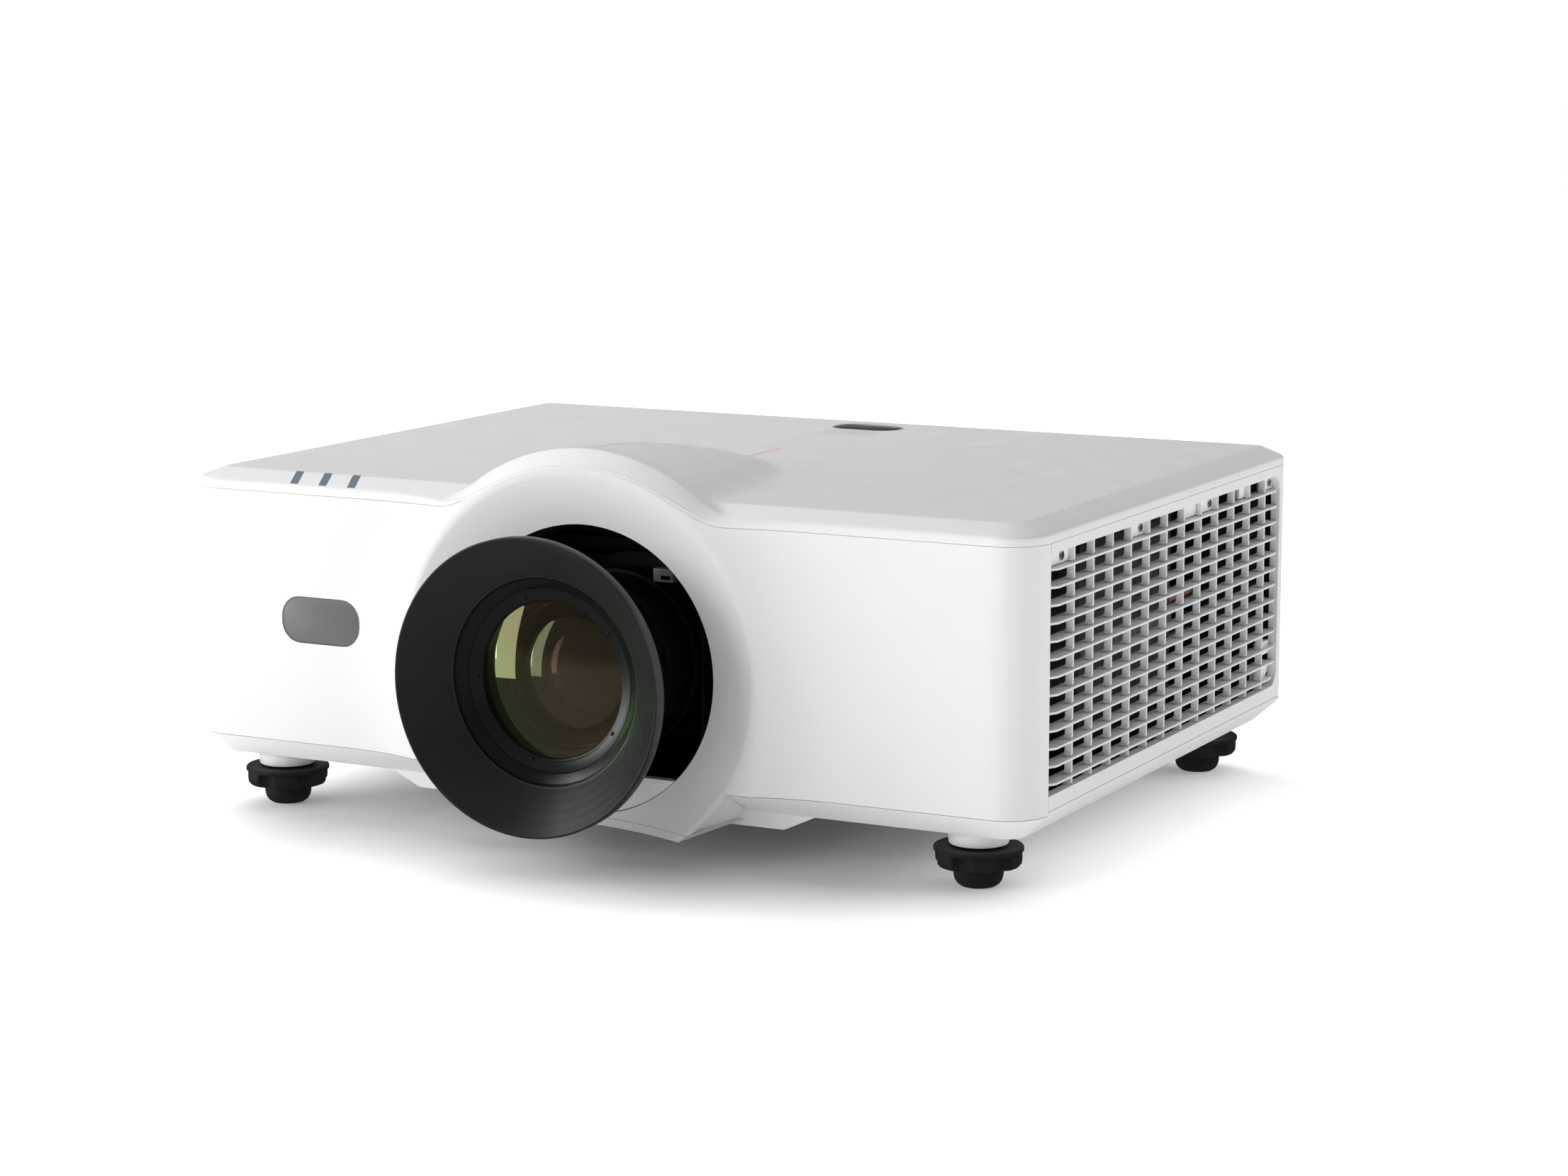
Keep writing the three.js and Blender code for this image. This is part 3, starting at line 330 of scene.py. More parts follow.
def lathe(profile, segments=96, closed=False):
    """Solid of revolution about Z from [radius, height] pairs."""
    points, rings = [], []
    for r, h in profile:
        if r < 1e-6:
            rings.append([len(points)])
            points.append((0, 0, h))
            continue
        rings.append(list(range(len(points), len(points) + segments)))
        points += [(u, v, h) for u, v in arc(0, 0, r, 0, 360 - 360 / segments, segments - 1)]
    faces = []
    pairs = list(zip(rings, rings[1:])) + ([(rings[-1], rings[0])] if closed else [])
    for a, b in pairs:
        for i in range(segments):
            j = (i + 1) % segments
            if len(a) == 1 and len(b) > 1:
                faces.append([a[0], b[j], b[i]])
            elif len(b) == 1 and len(a) > 1:
                faces.append([a[i], a[j], b[0]])
            elif len(a) > 1:
                faces.append([a[i], a[j], b[j], b[i]])
    return outward(points, faces)


def loft(rings, closed=False):
    """Skin through rings with equal point counts, capped at both ends or, if closed, joined end to end."""
    count = len(rings[0])
    points = [p for ring in rings for p in ring]
    faces = []
    for k in range(len(rings) if closed else len(rings) - 1):
        near, far = k * count, (k + 1) % len(rings) * count
        faces += [[near + i, near + (i + 1) % count, far + (i + 1) % count, far + i] for i in range(count)]
    if not closed:
        last = (len(rings) - 1) * count
        faces += [list(range(count))[::-1], [last + i for i in range(count)]]
    return outward(points, faces)


def plate(outline, low, high, edge=0.3, edge_low=0.0):
    """Plate between two heights with softened edges on its upper face, and on its lower face if asked."""
    levels = [(edge_low, low), (0.3 * edge_low, low + 0.3 * edge_low), (0, low + edge_low)]
    levels = levels if edge_low else [(0, low)]
    levels += [(0, high - edge), (0.3 * edge, high - 0.3 * edge), (edge, high)]
    return loft([[(u, v, h) for u, v in offset(outline, d)] for d, h in levels])


def facing(solid, plane, at=(0, 0, 0)):
    """Turns a solid built on XY to stand on another plane and moves it.
    front: local z runs to -Y; rear: to +Y; right: to +X; left: to -X.
    axis: local z is +Y, for solids round the lens axis."""
    points, faces = solid
    u, v, w = np.asarray(points, float).T
    turned = {
        "up": (u, v, w), "front": (u, -w, v), "rear": (-u, w, v), "right": (w, u, v), "left": (-w, -u, v),
        "axis": (u, w, v),
    }[plane]
    return outward(np.stack(turned, axis=1) + np.array(at, float), faces)


def block(x0, x1, y0, y1, z0, z1, edge=0.4):
    """Box with softened edges."""
    edge = min(edge, 0.3 * min(x1 - x0, y1 - y0, z1 - z0))
    outline = rounded_rectangle(x0, x1, y0, y1, edge, 2)
    return plate(outline, z0, z1, edge, edge)


def tube(path, r, segments=20):
    """Round tube along a list of points."""
    path = np.array(path, float)
    ahead = np.gradient(path, axis=0)
    ahead /= np.linalg.norm(ahead, axis=1, keepdims=True)
    rings = []
    for p, t in zip(path, ahead):
        side = np.cross(t, (0, 0, 1))
        side /= np.linalg.norm(side)
        up = np.cross(side, t)
        rings.append([tuple(p + r * (math.cos(a) * side + math.sin(a) * up))
                      for a in np.linspace(0, 2 * math.pi, segments, endpoint=False)])
    return loft(rings)


# ---------------------------------------------------------------- materials
def set_range(node, start, end, low, high):
    """Makes a Map Range node turn start into low and end into high."""
    for key, value in (("From Min", start), ("From Max", end), ("To Min", low), ("To Max", high)):
        node.inputs[key].default_value = value


class Nodes:
    """Short way to lay out a material's node tree."""

    def __init__(self, name):
        self.material = bpy.data.materials.new(name)
        self.material.use_nodes = True
        self.tree = self.material.node_tree
        self.shader = self.tree.nodes["Principled BSDF"]
        self.place = self.add("ShaderNodeTexCoord").outputs["Object"]

    def add(self, kind, **values):
        node = self.tree.nodes.new(kind)
        for key, value in values.items():
            setattr(node, key, value)
        return node

    def link(self, source, target):
        self.tree.links.new(source, target)

    def noise(self, scale, detail=3.0, stretch=None):
        node = self.add("ShaderNodeTexNoise")
        node.inputs["Scale"].default_value = scale
        node.inputs["Detail"].default_value = detail
        source = self.place
        if stretch:
            mapping = self.add("ShaderNodeMapping")
            mapping.inputs["Scale"].default_value = stretch
            self.link(source, mapping.inputs["Vector"])
            source = mapping.outputs["Vector"]
        self.link(source, node.inputs["Vector"])
        return node.outputs["Fac"]

    def span(self, source, low, high, start=0.3, end=0.7):
        node = self.add("ShaderNodeMapRange")
        self.link(source, node.inputs["Value"])
        set_range(node, start, end, low, high)
        return node.outputs["Result"]

    def math(self, operation, a, b=None):
        node = self.add("ShaderNodeMath", operation=operation)
        for socket, value in zip(node.inputs, (a, b)):
            if value is None:
                continue
            if isinstance(value, (int, float)):
                socket.default_value = value
            else:
                self.link(value, socket)
        return node.outputs[0]

    def mix(self, factor, first, second):
        node = self.add("ShaderNodeMix", data_type="RGBA")
        self.link(factor, node.inputs["Factor"])
        for key, value in (("A", first), ("B", second)):
            socket = [s for s in node.inputs if s.name == key and s.type == "RGBA"][0]
            if isinstance(value, tuple):
                socket.default_value = (*value, 1)
            else:
                self.link(value, socket)
        return [s for s in node.outputs if s.type == "RGBA"][0]

    def bump(self, height, strength, distance):
        node = self.add("ShaderNodeBump")
        node.inputs["Strength"].default_value = strength
        node.inputs["Distance"].default_value = distance
        self.link(height, node.inputs["Height"])
        self.link(node.outputs["Normal"], self.shader.inputs["Normal"])

    def set(self, **values):
        for key, value in values.items():
            self.shader.inputs[key.replace("_", " ")].default_value = value


def shade(color, factor):
    """A colour made darker or lighter."""
    return tuple(min(1.0, c * factor) for c in color)


def moulded(name, color, rough, grain=1800, grain_depth=0.00002, tint=0.03, gloss=0.5, marks=None):
    """Moulded plastic or rubber: fine spark-eroded grain, slight shade and gloss variation."""
    m = Nodes(name)
    cloud = m.noise(9, 2)
    base = m.mix(cloud, shade(color, 1 - tint), shade(color, 1 + tint))
    m.link(marks(m, base) if marks else base, m.shader.inputs["Base Color"])
    m.link(m.span(m.noise(60, 4), rough * 0.9, rough * 1.12), m.shader.inputs["Roughness"])
    m.bump(m.noise(grain, 2), 0.35, grain_depth)
    m.set(Specular_IOR_Level=gloss)
    return m.material


def brushed(name, color, rough, stretch, metallic=1.0, depth=0.00001):
    """Metal with fine marks drawn out along one direction."""
    m = Nodes(name)
    lines = m.noise(900, 3, stretch)
    m.link(m.mix(lines, shade(color, 0.8), shade(color, 1.15)), m.shader.inputs["Base Color"])
    m.link(m.span(lines, rough * 0.75, rough * 1.3), m.shader.inputs["Roughness"])
    m.bump(lines, 0.3, depth)
    m.set(Metallic=metallic)
    return m.material


def turned(name, color, rough, pitch=0.0009, metallic=0.0, depth=0.000012, gloss=0.5):
    """Surface with fine circular tool marks round the lens axis."""
    m = Nodes(name)
    mapping = m.add("ShaderNodeMapping")
    mapping.inputs["Location"].default_value = (0, 0, -LENS_Z * MM)
    m.link(m.place, mapping.inputs["Vector"])
    rings = m.add("ShaderNodeTexWave", wave_type="RINGS", rings_direction="Y")
    rings.inputs["Scale"].default_value = 1 / (20 * pitch)
    rings.inputs["Distortion"].default_value = 0.4
    rings.inputs["Detail Scale"].default_value = 3.0
    m.link(mapping.outputs["Vector"], rings.inputs["Vector"])
    cloud = m.noise(40, 3)
    m.link(m.mix(cloud, shade(color, 0.8), shade(color, 1.25)), m.shader.inputs["Base Color"])
    m.link(m.span(cloud, rough * 0.85, rough * 1.15), m.shader.inputs["Roughness"])
    m.bump(rings.outputs["Fac"], 0.5, depth)
    m.set(Metallic=metallic, Specular_IOR_Level=gloss)
    return m.material


def coated_glass(name, centre_tint, rim_tint, reflectance):
    """Coated lens surface: mostly clear, its reflection changing colour towards grazing angles."""
    m = Nodes(name)
    nodes = m.tree.nodes
    nodes.remove(m.shader)
    clear = m.add("ShaderNodeBsdfTransparent")
    mirror = m.add("ShaderNodeBsdfGlossy")
    mirror.inputs["Roughness"].default_value = 0.015
    slope = m.add("ShaderNodeLayerWeight")
    slope.inputs["Blend"].default_value = 0.35
    slant = slope.outputs["Facing"]
    speckle = m.mix(m.noise(300, 2), shade(centre_tint, 0.94), shade(centre_tint, 1.06))
    m.link(m.mix(m.span(slant, 0, 1, 0.12, 0.27), speckle, rim_tint), mirror.inputs["Color"])
    mixed = m.add("ShaderNodeMixShader")
    m.link(m.span(slant, reflectance, 2.4 * reflectance, 0.02, 0.45), mixed.inputs["Fac"])
    m.link(clear.outputs[0], mixed.inputs[1])
    m.link(mirror.outputs[0], mixed.inputs[2])
    m.link(mixed.outputs[0], nodes["Material Output"].inputs["Surface"])
    return m.material


ACCENT_HALF_WIDTH = 0.55
ACCENT_RUNS = ((8, 97), (170, 216))                 # stretches behind the front face that carry the line
LABEL_X, LABEL_DEPTH, LABEL_HALF = 1.5, 296, (16, 9)


def accent_marks(m, base):
    """Pale red line along the ridge of the cover, and the blank grey label field behind it."""
    axes = m.add("ShaderNodeSeparateXYZ")
    m.link(m.place, axes.inputs[0])
    x, y = axes.outputs["X"], axes.outputs["Y"]
    across = m.math("ABSOLUTE", x)
    on_line = m.math("LESS_THAN", across, ACCENT_HALF_WIDTH * MM)
    parts = [m.math("MULTIPLY", m.math("GREATER_THAN", y, (FRONT + start) * MM),
                    m.math("LESS_THAN", y, (FRONT + end) * MM)) for start, end in ACCENT_RUNS]
    line = m.math("MULTIPLY", on_line, m.math("ADD", *parts))
    from_centre = [m.math("ABSOLUTE", m.math("SUBTRACT", axis, centre * MM))
                   for axis, centre in ((x, LABEL_X), (y, FRONT + LABEL_DEPTH))]
    label = m.math("MULTIPLY", *[m.math("LESS_THAN", distance, half * MM)
                                 for distance, half in zip(from_centre, LABEL_HALF)])
    with_label = m.mix(m.math("MULTIPLY", label, 0.35), base, (0.55, 0.55, 0.56))
    return m.mix(m.math("MULTIPLY", line, 0.85), with_label, (0.80, 0.16, 0.12))


def clear_back(name):
    """Back and rim of a lens element: passes light with a faint warm tint."""
    m = Nodes(name)
    clear = m.add("ShaderNodeBsdfTransparent")
    m.link(m.mix(m.noise(40, 2), (0.93, 0.90, 0.84), (0.97, 0.95, 0.90)), clear.inputs["Color"])
    m.link(clear.outputs[0], m.tree.nodes["Material Output"].inputs["Surface"])
    m.tree.nodes.remove(m.shader)
    return m.material


WHITE = (0.76, 0.757, 0.765)
white = moulded("white_plastic", WHITE, 0.42, tint=0.012, gloss=0.4)
white_cover = moulded("white_plastic_cover", WHITE, 0.42, tint=0.012, gloss=0.4, marks=accent_marks)
black = moulded("black_plastic", (0.018, 0.018, 0.019), 0.45, tint=0.15)
# Painted shade: a dark colour on the inner faces of the shells and the tray floor, standing for the shade
# inside the housing.
inner_shade_material = moulded("inner_painted_shade", (0.030, 0.030, 0.031), 0.6, tint=0.2, gloss=0.2)
bay_black = moulded("bay_black", (0.006, 0.006, 0.007), 0.4, tint=0.2, gloss=0.35)
rubber = moulded("black_rubber", (0.012, 0.012, 0.013), 0.62, grain=900, grain_depth=0.00004, tint=0.2,
                 gloss=0.35)
grey = moulded("grey_plastic", (0.33, 0.34, 0.34), 0.45)
latch_grey = moulded("latch_grey", (0.10, 0.108, 0.10), 0.4)
collar_grey = moulded("collar_grey", (0.022, 0.022, 0.023), 0.5, tint=0.1, gloss=0.4)
cell_brown = turned("cell_brown", (0.011, 0.008, 0.004), 0.33, gloss=0.4)
# Painted highlight: the rims are real lips of the cells, but their lighter metal colour stands for the light
# they catch.
cell_rim_highlight = turned("cell_rim_highlight", (0.16, 0.13, 0.08), 0.4, metallic=0.4)
smoked = moulded("smoked_plastic", (0.135, 0.138, 0.142), 0.34, grain=700, grain_depth=0.00006, tint=0.25)
dark_window = moulded("dark_window", (0.060, 0.061, 0.063), 0.22, tint=0.1)
pipe_blue = moulded("light_pipe", (0.16, 0.20, 0.24), 0.25, tint=0.12)
hood_black = turned("hood_black", (0.014, 0.014, 0.015), 0.36, pitch=0.0007, depth=0.00005, gloss=0.5)
barrel_black = turned("barrel_black", (0.009, 0.009, 0.009), 0.38, gloss=0.4)
inner_black = turned("inner_black", (0.005, 0.005, 0.005), 0.26, gloss=0.6)
aluminium = brushed("aluminium", (0.60, 0.61, 0.62), 0.35, (1, 1, 0.05))
fin_metal = brushed("fin_metal", (0.30, 0.31, 0.32), 0.4, (0.05, 1, 1))
steel = brushed("steel", (0.62, 0.63, 0.64), 0.34, (0.05, 1, 1))
black_metal = brushed("black_metal", (0.025, 0.025, 0.026), 0.45, (1, 0.08, 1), metallic=0.6)
copper = brushed("copper", (0.86, 0.46, 0.32), 0.28, (0.1, 0.1, 1))
clear_glass = clear_back("clear_glass")
foam_black = moulded("foam_black", (0.016, 0.016, 0.016), 0.95, grain=420, grain_depth=0.0006, tint=0.3,
                     gloss=0.1)
board = moulded("circuit_board", (0.02, 0.09, 0.045), 0.35, grain=500, tint=0.3)
filter_paper = moulded("filter_paper", (0.62, 0.62, 0.58), 0.9, grain=350, grain_depth=0.0002, tint=0.1,
                       gloss=0.2)


# ---------------------------------------------------------------- pieces
def piece(name, solid, material, body="chassis", replaced=(), sharp=32, shade_painted_count=0):
    """Makes a Blender object from a solid in millimetres and fixes it to its CAD body.
    The last argument counts the faces of a thickened skin whose inner copy then takes painted shade, a dark
    colour for the shade inside the housing."""
    points, faces = solid
    mesh = bpy.data.meshes.new(name)
    mesh.from_pydata([tuple(p) for p in np.asarray(points, float) * MM], [], [list(f) for f in faces])
    mesh.update()
    mesh.polygons.foreach_set("use_smooth", [True] * len(mesh.polygons))
    mesh.set_sharp_from_angle(angle=math.radians(sharp))
    mesh.materials.append(material)
    # The inner copy of a thickened skin takes the painted shade.
    if shade_painted_count:
        mesh.materials.append(inner_shade_material)
        for polygon in mesh.polygons[shade_painted_count:2 * shade_painted_count]:
            polygon.material_index = 1
    obj = bpy.data.objects.new(name, mesh)
    bpy.context.scene.collection.objects.link(obj)
    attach(obj, body)
    if replaced:
        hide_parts(*replaced)
    return obj


def add_levels(points, faces, ring, levels):
    """Hangs extra rings of points from one boundary ring of a skin."""
    points = [tuple(p) for p in points]
    for level in levels:
        start = len(points)
        points += [tuple(p) for p in level]
        count = len(ring)
        new = list(range(start, start + count))
        faces += [[ring[i], new[i], new[(i + 1) % count], ring[(i + 1) % count]] for i in range(count)]
        ring = new
    return np.array(points), faces


FRONT_STEPS = 221               # points along the flat front edge, shared by the cover and the front panel
PIPE_X = (-173.0, -155.4, -137.8)                   # the three status lights on the top chamfer
PIPE_LEAN = 4.8                 # how far each light leans to the left across the chamfer
IR_TOP = rounded_rectangle(-21, 21, FRONT + 310, FRONT + 337, 12)
IR_FRONT = rounded_rectangle(-181.8, -133.2, FACE_Z + 52.9, FACE_Z + 77.4, 11)


def pipe_outline(x, grow):
    """Plan outline of one status light, grown all round."""
    ends = [(1.6 - grow, -1), (1.6 - grow, 1), (15.4 + grow, 1), (15.4 + grow, -1)]
    return [(x + side * (2.15 + grow) - PIPE_LEAN * d / TOP_INSET, FRONT + d) for d, side in ends]


def cover_outline():
    """Plan outline of the cover with outward normals, from the front left round to the right."""
    points, normals = [], []
    for x in np.linspace(-FLAT_U, FLAT_U, FRONT_STEPS):
        points.append((x, FRONT - float(front_bulge(x))))
        normals.append((0, -1))
    for angle in np.linspace(-90, 0, 25)[1:]:
        c, s = math.cos(math.radians(angle)), math.sin(math.radians(angle))
        points.append((FLAT_U + CORNER_R * c, FRONT + CORNER_R + CORNER_R * s))
        normals.append((c, s))
    side = np.linspace(FRONT + CORNER_R, REAR - REAR_CORNER_R, 36)[1:]
    rear = np.linspace(HALF - REAR_CORNER_R, 0, 22)
    points += [(HALF, y) for y in side]
    normals += [(1, 0)] * len(side)
    for angle in (30, 60):
        c, s = math.cos(math.radians(angle)), math.sin(math.radians(angle))
        points.append((HALF - REAR_CORNER_R * (1 - c), REAR - REAR_CORNER_R * (1 - s)))
        normals.append((c, s))
    points += [(x, REAR) for x in rear]
    normals += [(0, 1)] * len(rear)
    mirror = range(len(points) - 2, FRONT_STEPS - 1, -1)
    points += [(-points[i][0], points[i][1]) for i in mirror]
    normals += [(-normals[i][0], normals[i][1]) for i in mirror]
    return np.array(points), np.array(normals, float)


def top_cover():
    """Cover with its dome: a fine top surface, a rounded edge, and a short skirt down to the seam."""
    plan, normal = cover_outline()
    at_front = plan[:, 1] < FRONT + 0.01
    edge_z = cover_height(plan[:, 0], plan[:, 1])
    seam = np.where(at_front, seam_z(plan[:, 0]), PARTING_Z) + SEAM
    seam = np.minimum(seam, edge_z - 0.3)
    cut = np.clip(0.5 * (edge_z - seam), 0.15, 1.3)
    inner = plan - normal * cut[:, None]
    creases = []
    for d in (TOP_INSET - 0.8, TOP_INSET, TOP_INSET + 0.8):
        r = CORNER_R - d
        line = [(-HALF + d, REAR - 3), (-HALF + d, FRONT + CORNER_R)]
        line += arc(-HALF + CORNER_R, FRONT + CORNER_R, r, 180, 270, 12)[1:]
        line += arc(HALF - CORNER_R, FRONT + CORNER_R, r, 270, 360, 12)
        line += [(HALF - d, REAR - 3)]
        creases.append(dense(line, 5, closed=False))
    crests = [[(x, FRONT + d) for x in np.arange(-74, 74.1, 2.0)] for d in (0.3, 1.0, 1.9)]
    grids = [
        grid(-112, 112, FRONT - 7.5, FRONT + 186, 2.4, 2.4), grid(-225, -113, FRONT + 18, REAR - 6, 14, 14),
        grid(113, 225, FRONT + 18, REAR - 6, 14, 14), grid(-112, 112, FRONT + 190, REAR - 6, 14, 14),
        grid(-HALF + 2, HALF - 2, FRONT + 4, FRONT + 12, 5, 4),
    ]
    holes = [IR_TOP] + [pipe_outline(x, 0.25) for x in PIPE_X]
    flat, faces, rings = triangulate([[tuple(p) for p in inner]] + holes, grids, creases + crests)
    points = np.column_stack([flat, cover_height(flat[:, 0], flat[:, 1])])
    ends = [
        np.column_stack([inner, cover_height(inner[:, 0], inner[:, 1])]),
        np.column_stack([plan, edge_z]), np.column_stack([plan, edge_z - cut]),
    ]
    levels = [(1 - t) ** 2 * ends[0] + 2 * t * (1 - t) * ends[1] + t * t * ends[2]
              for t in (0.3, 0.55, 0.8, 1)]
    levels.append(np.column_stack([plan, seam]))
    points, faces = add_levels(points, faces, rings[0], levels)
    faces = consistent(points, faces)
    piece("top_cover_shell", thicken(points, faces, SKIN), white_cover,
          replaced=("top_cover",), sharp=29, shade_painted_count=len(faces))


def consistent(points, faces):
    """Turns all the faces of a skin the same way, with the highest one looking up."""
    mesh = bpy.data.meshes.new("scratch")
    mesh.from_pydata([tuple(p) for p in points], [], faces)
    work = bmesh.new()
    work.from_mesh(mesh)
    bmesh.ops.recalc_face_normals(work, faces=work.faces)
    top = max(work.faces, key=lambda f: f.calc_center_median().z)
    if top.normal.z < 0:
        bmesh.ops.reverse_faces(work, faces=work.faces)
    result = [[v.index for v in f.verts] for f in work.faces]
    work.free()
    bpy.data.meshes.remove(mesh)
    return result


def wall_skin(loops, grids=(), lines=(), bulge=None):
    """Skin in the upright walls from outlines of [path length, height]."""
    flat, faces, rings = triangulate(loops, grids, lines)
    x, y = wall_point(flat[:, 0])
    if bulge is not None:
        on_front = np.abs(flat[:, 0]) <= FLAT_U
        y = y + np.where(on_front, bulge(flat[:, 0], flat[:, 1]), 0)
    points = np.column_stack([x, y, flat[:, 1]])
    return points, [list(f) for f in faces]


CHIN_SLOPE = 6 / 17.3           # rise of the ring's flat underside towards the rear
CHIN_TOP = 17.4                 # height of that underside at the front edge of the ring
CHIN_JOIN, CHIN_LOW = 17.1, 13.7                    # upper and lower edges of the tray's own chin below it


def chin_line(x, start):
    """Height of a sloping cut under the ring where it meets the dished front surface."""
    z = np.full_like(x, start)
    for _ in range(12):
        z = start + CHIN_SLOPE * (front_depth(x, z) + RING_PROUD)
    return z


def front_panel():
    """Front wall with its corners, the dished ring round the lens opening, and the ring's lower lobe."""
    end = SIDE_U - 0.2
    lobe_x = math.sqrt(RING_R**2 - (LENS_Z - FACE_Z) ** 2)
    bottom = [(u, FACE_Z) for u in np.linspace(-end, -lobe_x, 50)]
    low = chin_line(np.array([math.sqrt(RING_R**2 - (LENS_Z - CHIN_TOP) ** 2)]), CHIN_TOP)[0]
    low_x = math.sqrt(RING_R**2 - (LENS_Z - low) ** 2)
    angles = np.linspace(math.asin(lobe_x / RING_R), math.asin(low_x / RING_R), 14)[1:]
    lobe = [(-RING_R * math.sin(a), LENS_Z - RING_R * math.cos(a)) for a in angles]
    across = np.linspace(-low_x, low_x, 60)[1:-1]
    chin = list(zip(across, chin_line(across, CHIN_TOP)))
    right = [(-u, z) for u, z in reversed(bottom + lobe)]
    us = np.concatenate([np.linspace(end, FLAT_U, 16)[:-1], np.linspace(FLAT_U, -FLAT_U, FRONT_STEPS),
                         np.linspace(-FLAT_U, -end, 16)[1:]])
    top = [(u, float(seam_z(np.array(u))) - SEAM if abs(u) < FLAT_U else PARTING_Z - SEAM) for u in us]
    outline = bottom + lobe + chin + right + top
    hole = arc(0, LENS_Z, HOLE_R, 0, 360 - 360 / 180, 179)
    crest = [arc(0, LENS_Z, RING_R + d, -31, 211, 160) for d in (0, 1.2, 3.4)]
    inner = [arc(0, LENS_Z, RING_R - 0.8, -48, 228, 168)]
    grids = [
        grid(-FAIRING_R - 6, FAIRING_R + 6, 20, 196, 3, 3),
        grid(-FLAT_U + 6, -FAIRING_R - 10, 48, 165, 14, 14),
        grid(FAIRING_R + 10, FLAT_U - 6, 48, 165, 14, 14), grid(FLAT_U, end - 1, 46, 166, 2.2, 20),
        grid(-end + 1, -FLAT_U, 46, 166, 2.2, 20),
    ]
    skin = wall_skin([outline, hole, IR_FRONT], grids, crest + inner, bulge=front_depth)
    walls = [lobe_wall(side) for side in (-1, 1)]
    solid = join(thicken(*skin_towards(skin, 1, -1), SKIN), *walls)
    piece("front_panel_shell", solid, white, replaced=("front_panel",), sharp=24,
          shade_painted_count=len(skin[1]))


def skin_towards(skin, axis, sign):
    """Turns an open skin's faces so that they look along one axis on the whole."""
    points, faces = skin
    total = 0.0
    for f in faces:
        total += np.cross(points[f[1]] - points[f[0]], points[f[2]] - points[f[0]])[axis]
    return (points, faces) if total * sign > 0 else (points, [f[::-1] for f in faces])


def lobe_wall(side):
    """Outer wall of the lower part of the ring, flaring back to the housing under the lens."""
    rows = []
    for t in np.linspace(0, 1, 9):
        depth = -RING_PROUD + t * (RING_PROUD + 11)
        radius = RING_R + 1.4 * min(1, t * 2.3) + 6 * max(0, (t - 0.43) / 0.57)
        low = math.acos((LENS_Z - CHIN_TOP - CHIN_SLOPE * (depth + RING_PROUD)) / radius)
        high = math.acos((LENS_Z - FACE_Z + max(0, depth)) / radius)
        rows.append([(side * radius * math.sin(a), FRONT + depth, LENS_Z - radius * math.cos(a))
                     for a in np.linspace(low, high, 13)])
    points = [p for row in rows for p in row]
    n = len(rows[0])
    faces = [[k * n + i, k * n + i + 1, (k + 1) * n + i + 1, (k + 1) * n + i]
             for k in range(len(rows) - 1) for i in range(n - 1)]
    return thicken(*skin_towards((np.array(points), faces), 0, side), 2.0)


# ---------------------------------------------------------------- base tray
def chin():
    """Front edge of the tray, below the ring's flat underside."""
    low_x = math.sqrt(RING_R**2 - (LENS_Z - 14) ** 2)
    high_x = math.sqrt(RING_R**2 - (LENS_Z - CHIN_JOIN) ** 2)
    across = np.linspace(-low_x, low_x, 40)
    above = np.linspace(high_x, -high_x, 40)
    outline = list(zip(across, chin_line(across, CHIN_LOW))) + list(zip(above, chin_line(above, CHIN_JOIN)))
    flat, faces, _ = triangulate([outline], [grid(-60, 60, 14, 20, 4, 2)])
    x, z = flat[:, 0], flat[:, 1]
    depth = front_depth(x, z)
    near = np.column_stack([x, FRONT + depth, z])
    far = np.column_stack([x * (1 + 0.33 * (np.abs(x) / low_x) ** 2), np.full_like(x, FRONT + 12),
                           z + 0.374 * (12 - depth)])
    return outward(np.concatenate([near, far]), wall_faces(faces, len(near)))


def sill():
    """Lower edge of the lens opening, with a narrow shelf behind it."""
    r = HOLE_R - 0.35
    reach = math.sqrt(r * r - (LENS_Z - SILL_Z) ** 2)
    span = math.degrees(math.asin(reach / r))
    outline = soften(arc(0, LENS_Z, r, 270 - span, 270 + span, 40), 0.5)
    front = facing(plate(outline, -FRONT - 2.6, -FRONT - 0.1, 0.4), "front")
    shelf = block(-reach + 3, reach - 3, FRONT + 0.6, FRONT + 5.2, SILL_Z - 2.4, SILL_Z - 0.05, 0.3)
    return join(front, shelf)


def inset_plan(plan, normal, depth):
    """Plan outline moved inwards, its rear corners drawn tighter so that they never fold over."""
    moved = plan - normal * depth
    r = max(REAR_CORNER_R - depth, 0.4)
    corner = at_rear_corner(plan)
    moved[corner, 0] = np.sign(plan[corner, 0]) * (HALF - depth - r) + r * normal[corner, 0]
    moved[corner, 1] = REAR - depth - r + r * normal[corner, 1]
    return moved


def at_rear_corner(plan, reach=REAR_CORNER_R + 0.01):
    """True for each plan point within reach of both a side edge and the rear edge."""
    return (np.abs(plan[:, 0]) >= HALF - reach) & (plan[:, 1] >= REAR - reach)


BULGE_Z = 21.1                  # underside of the deeper housing below the lens


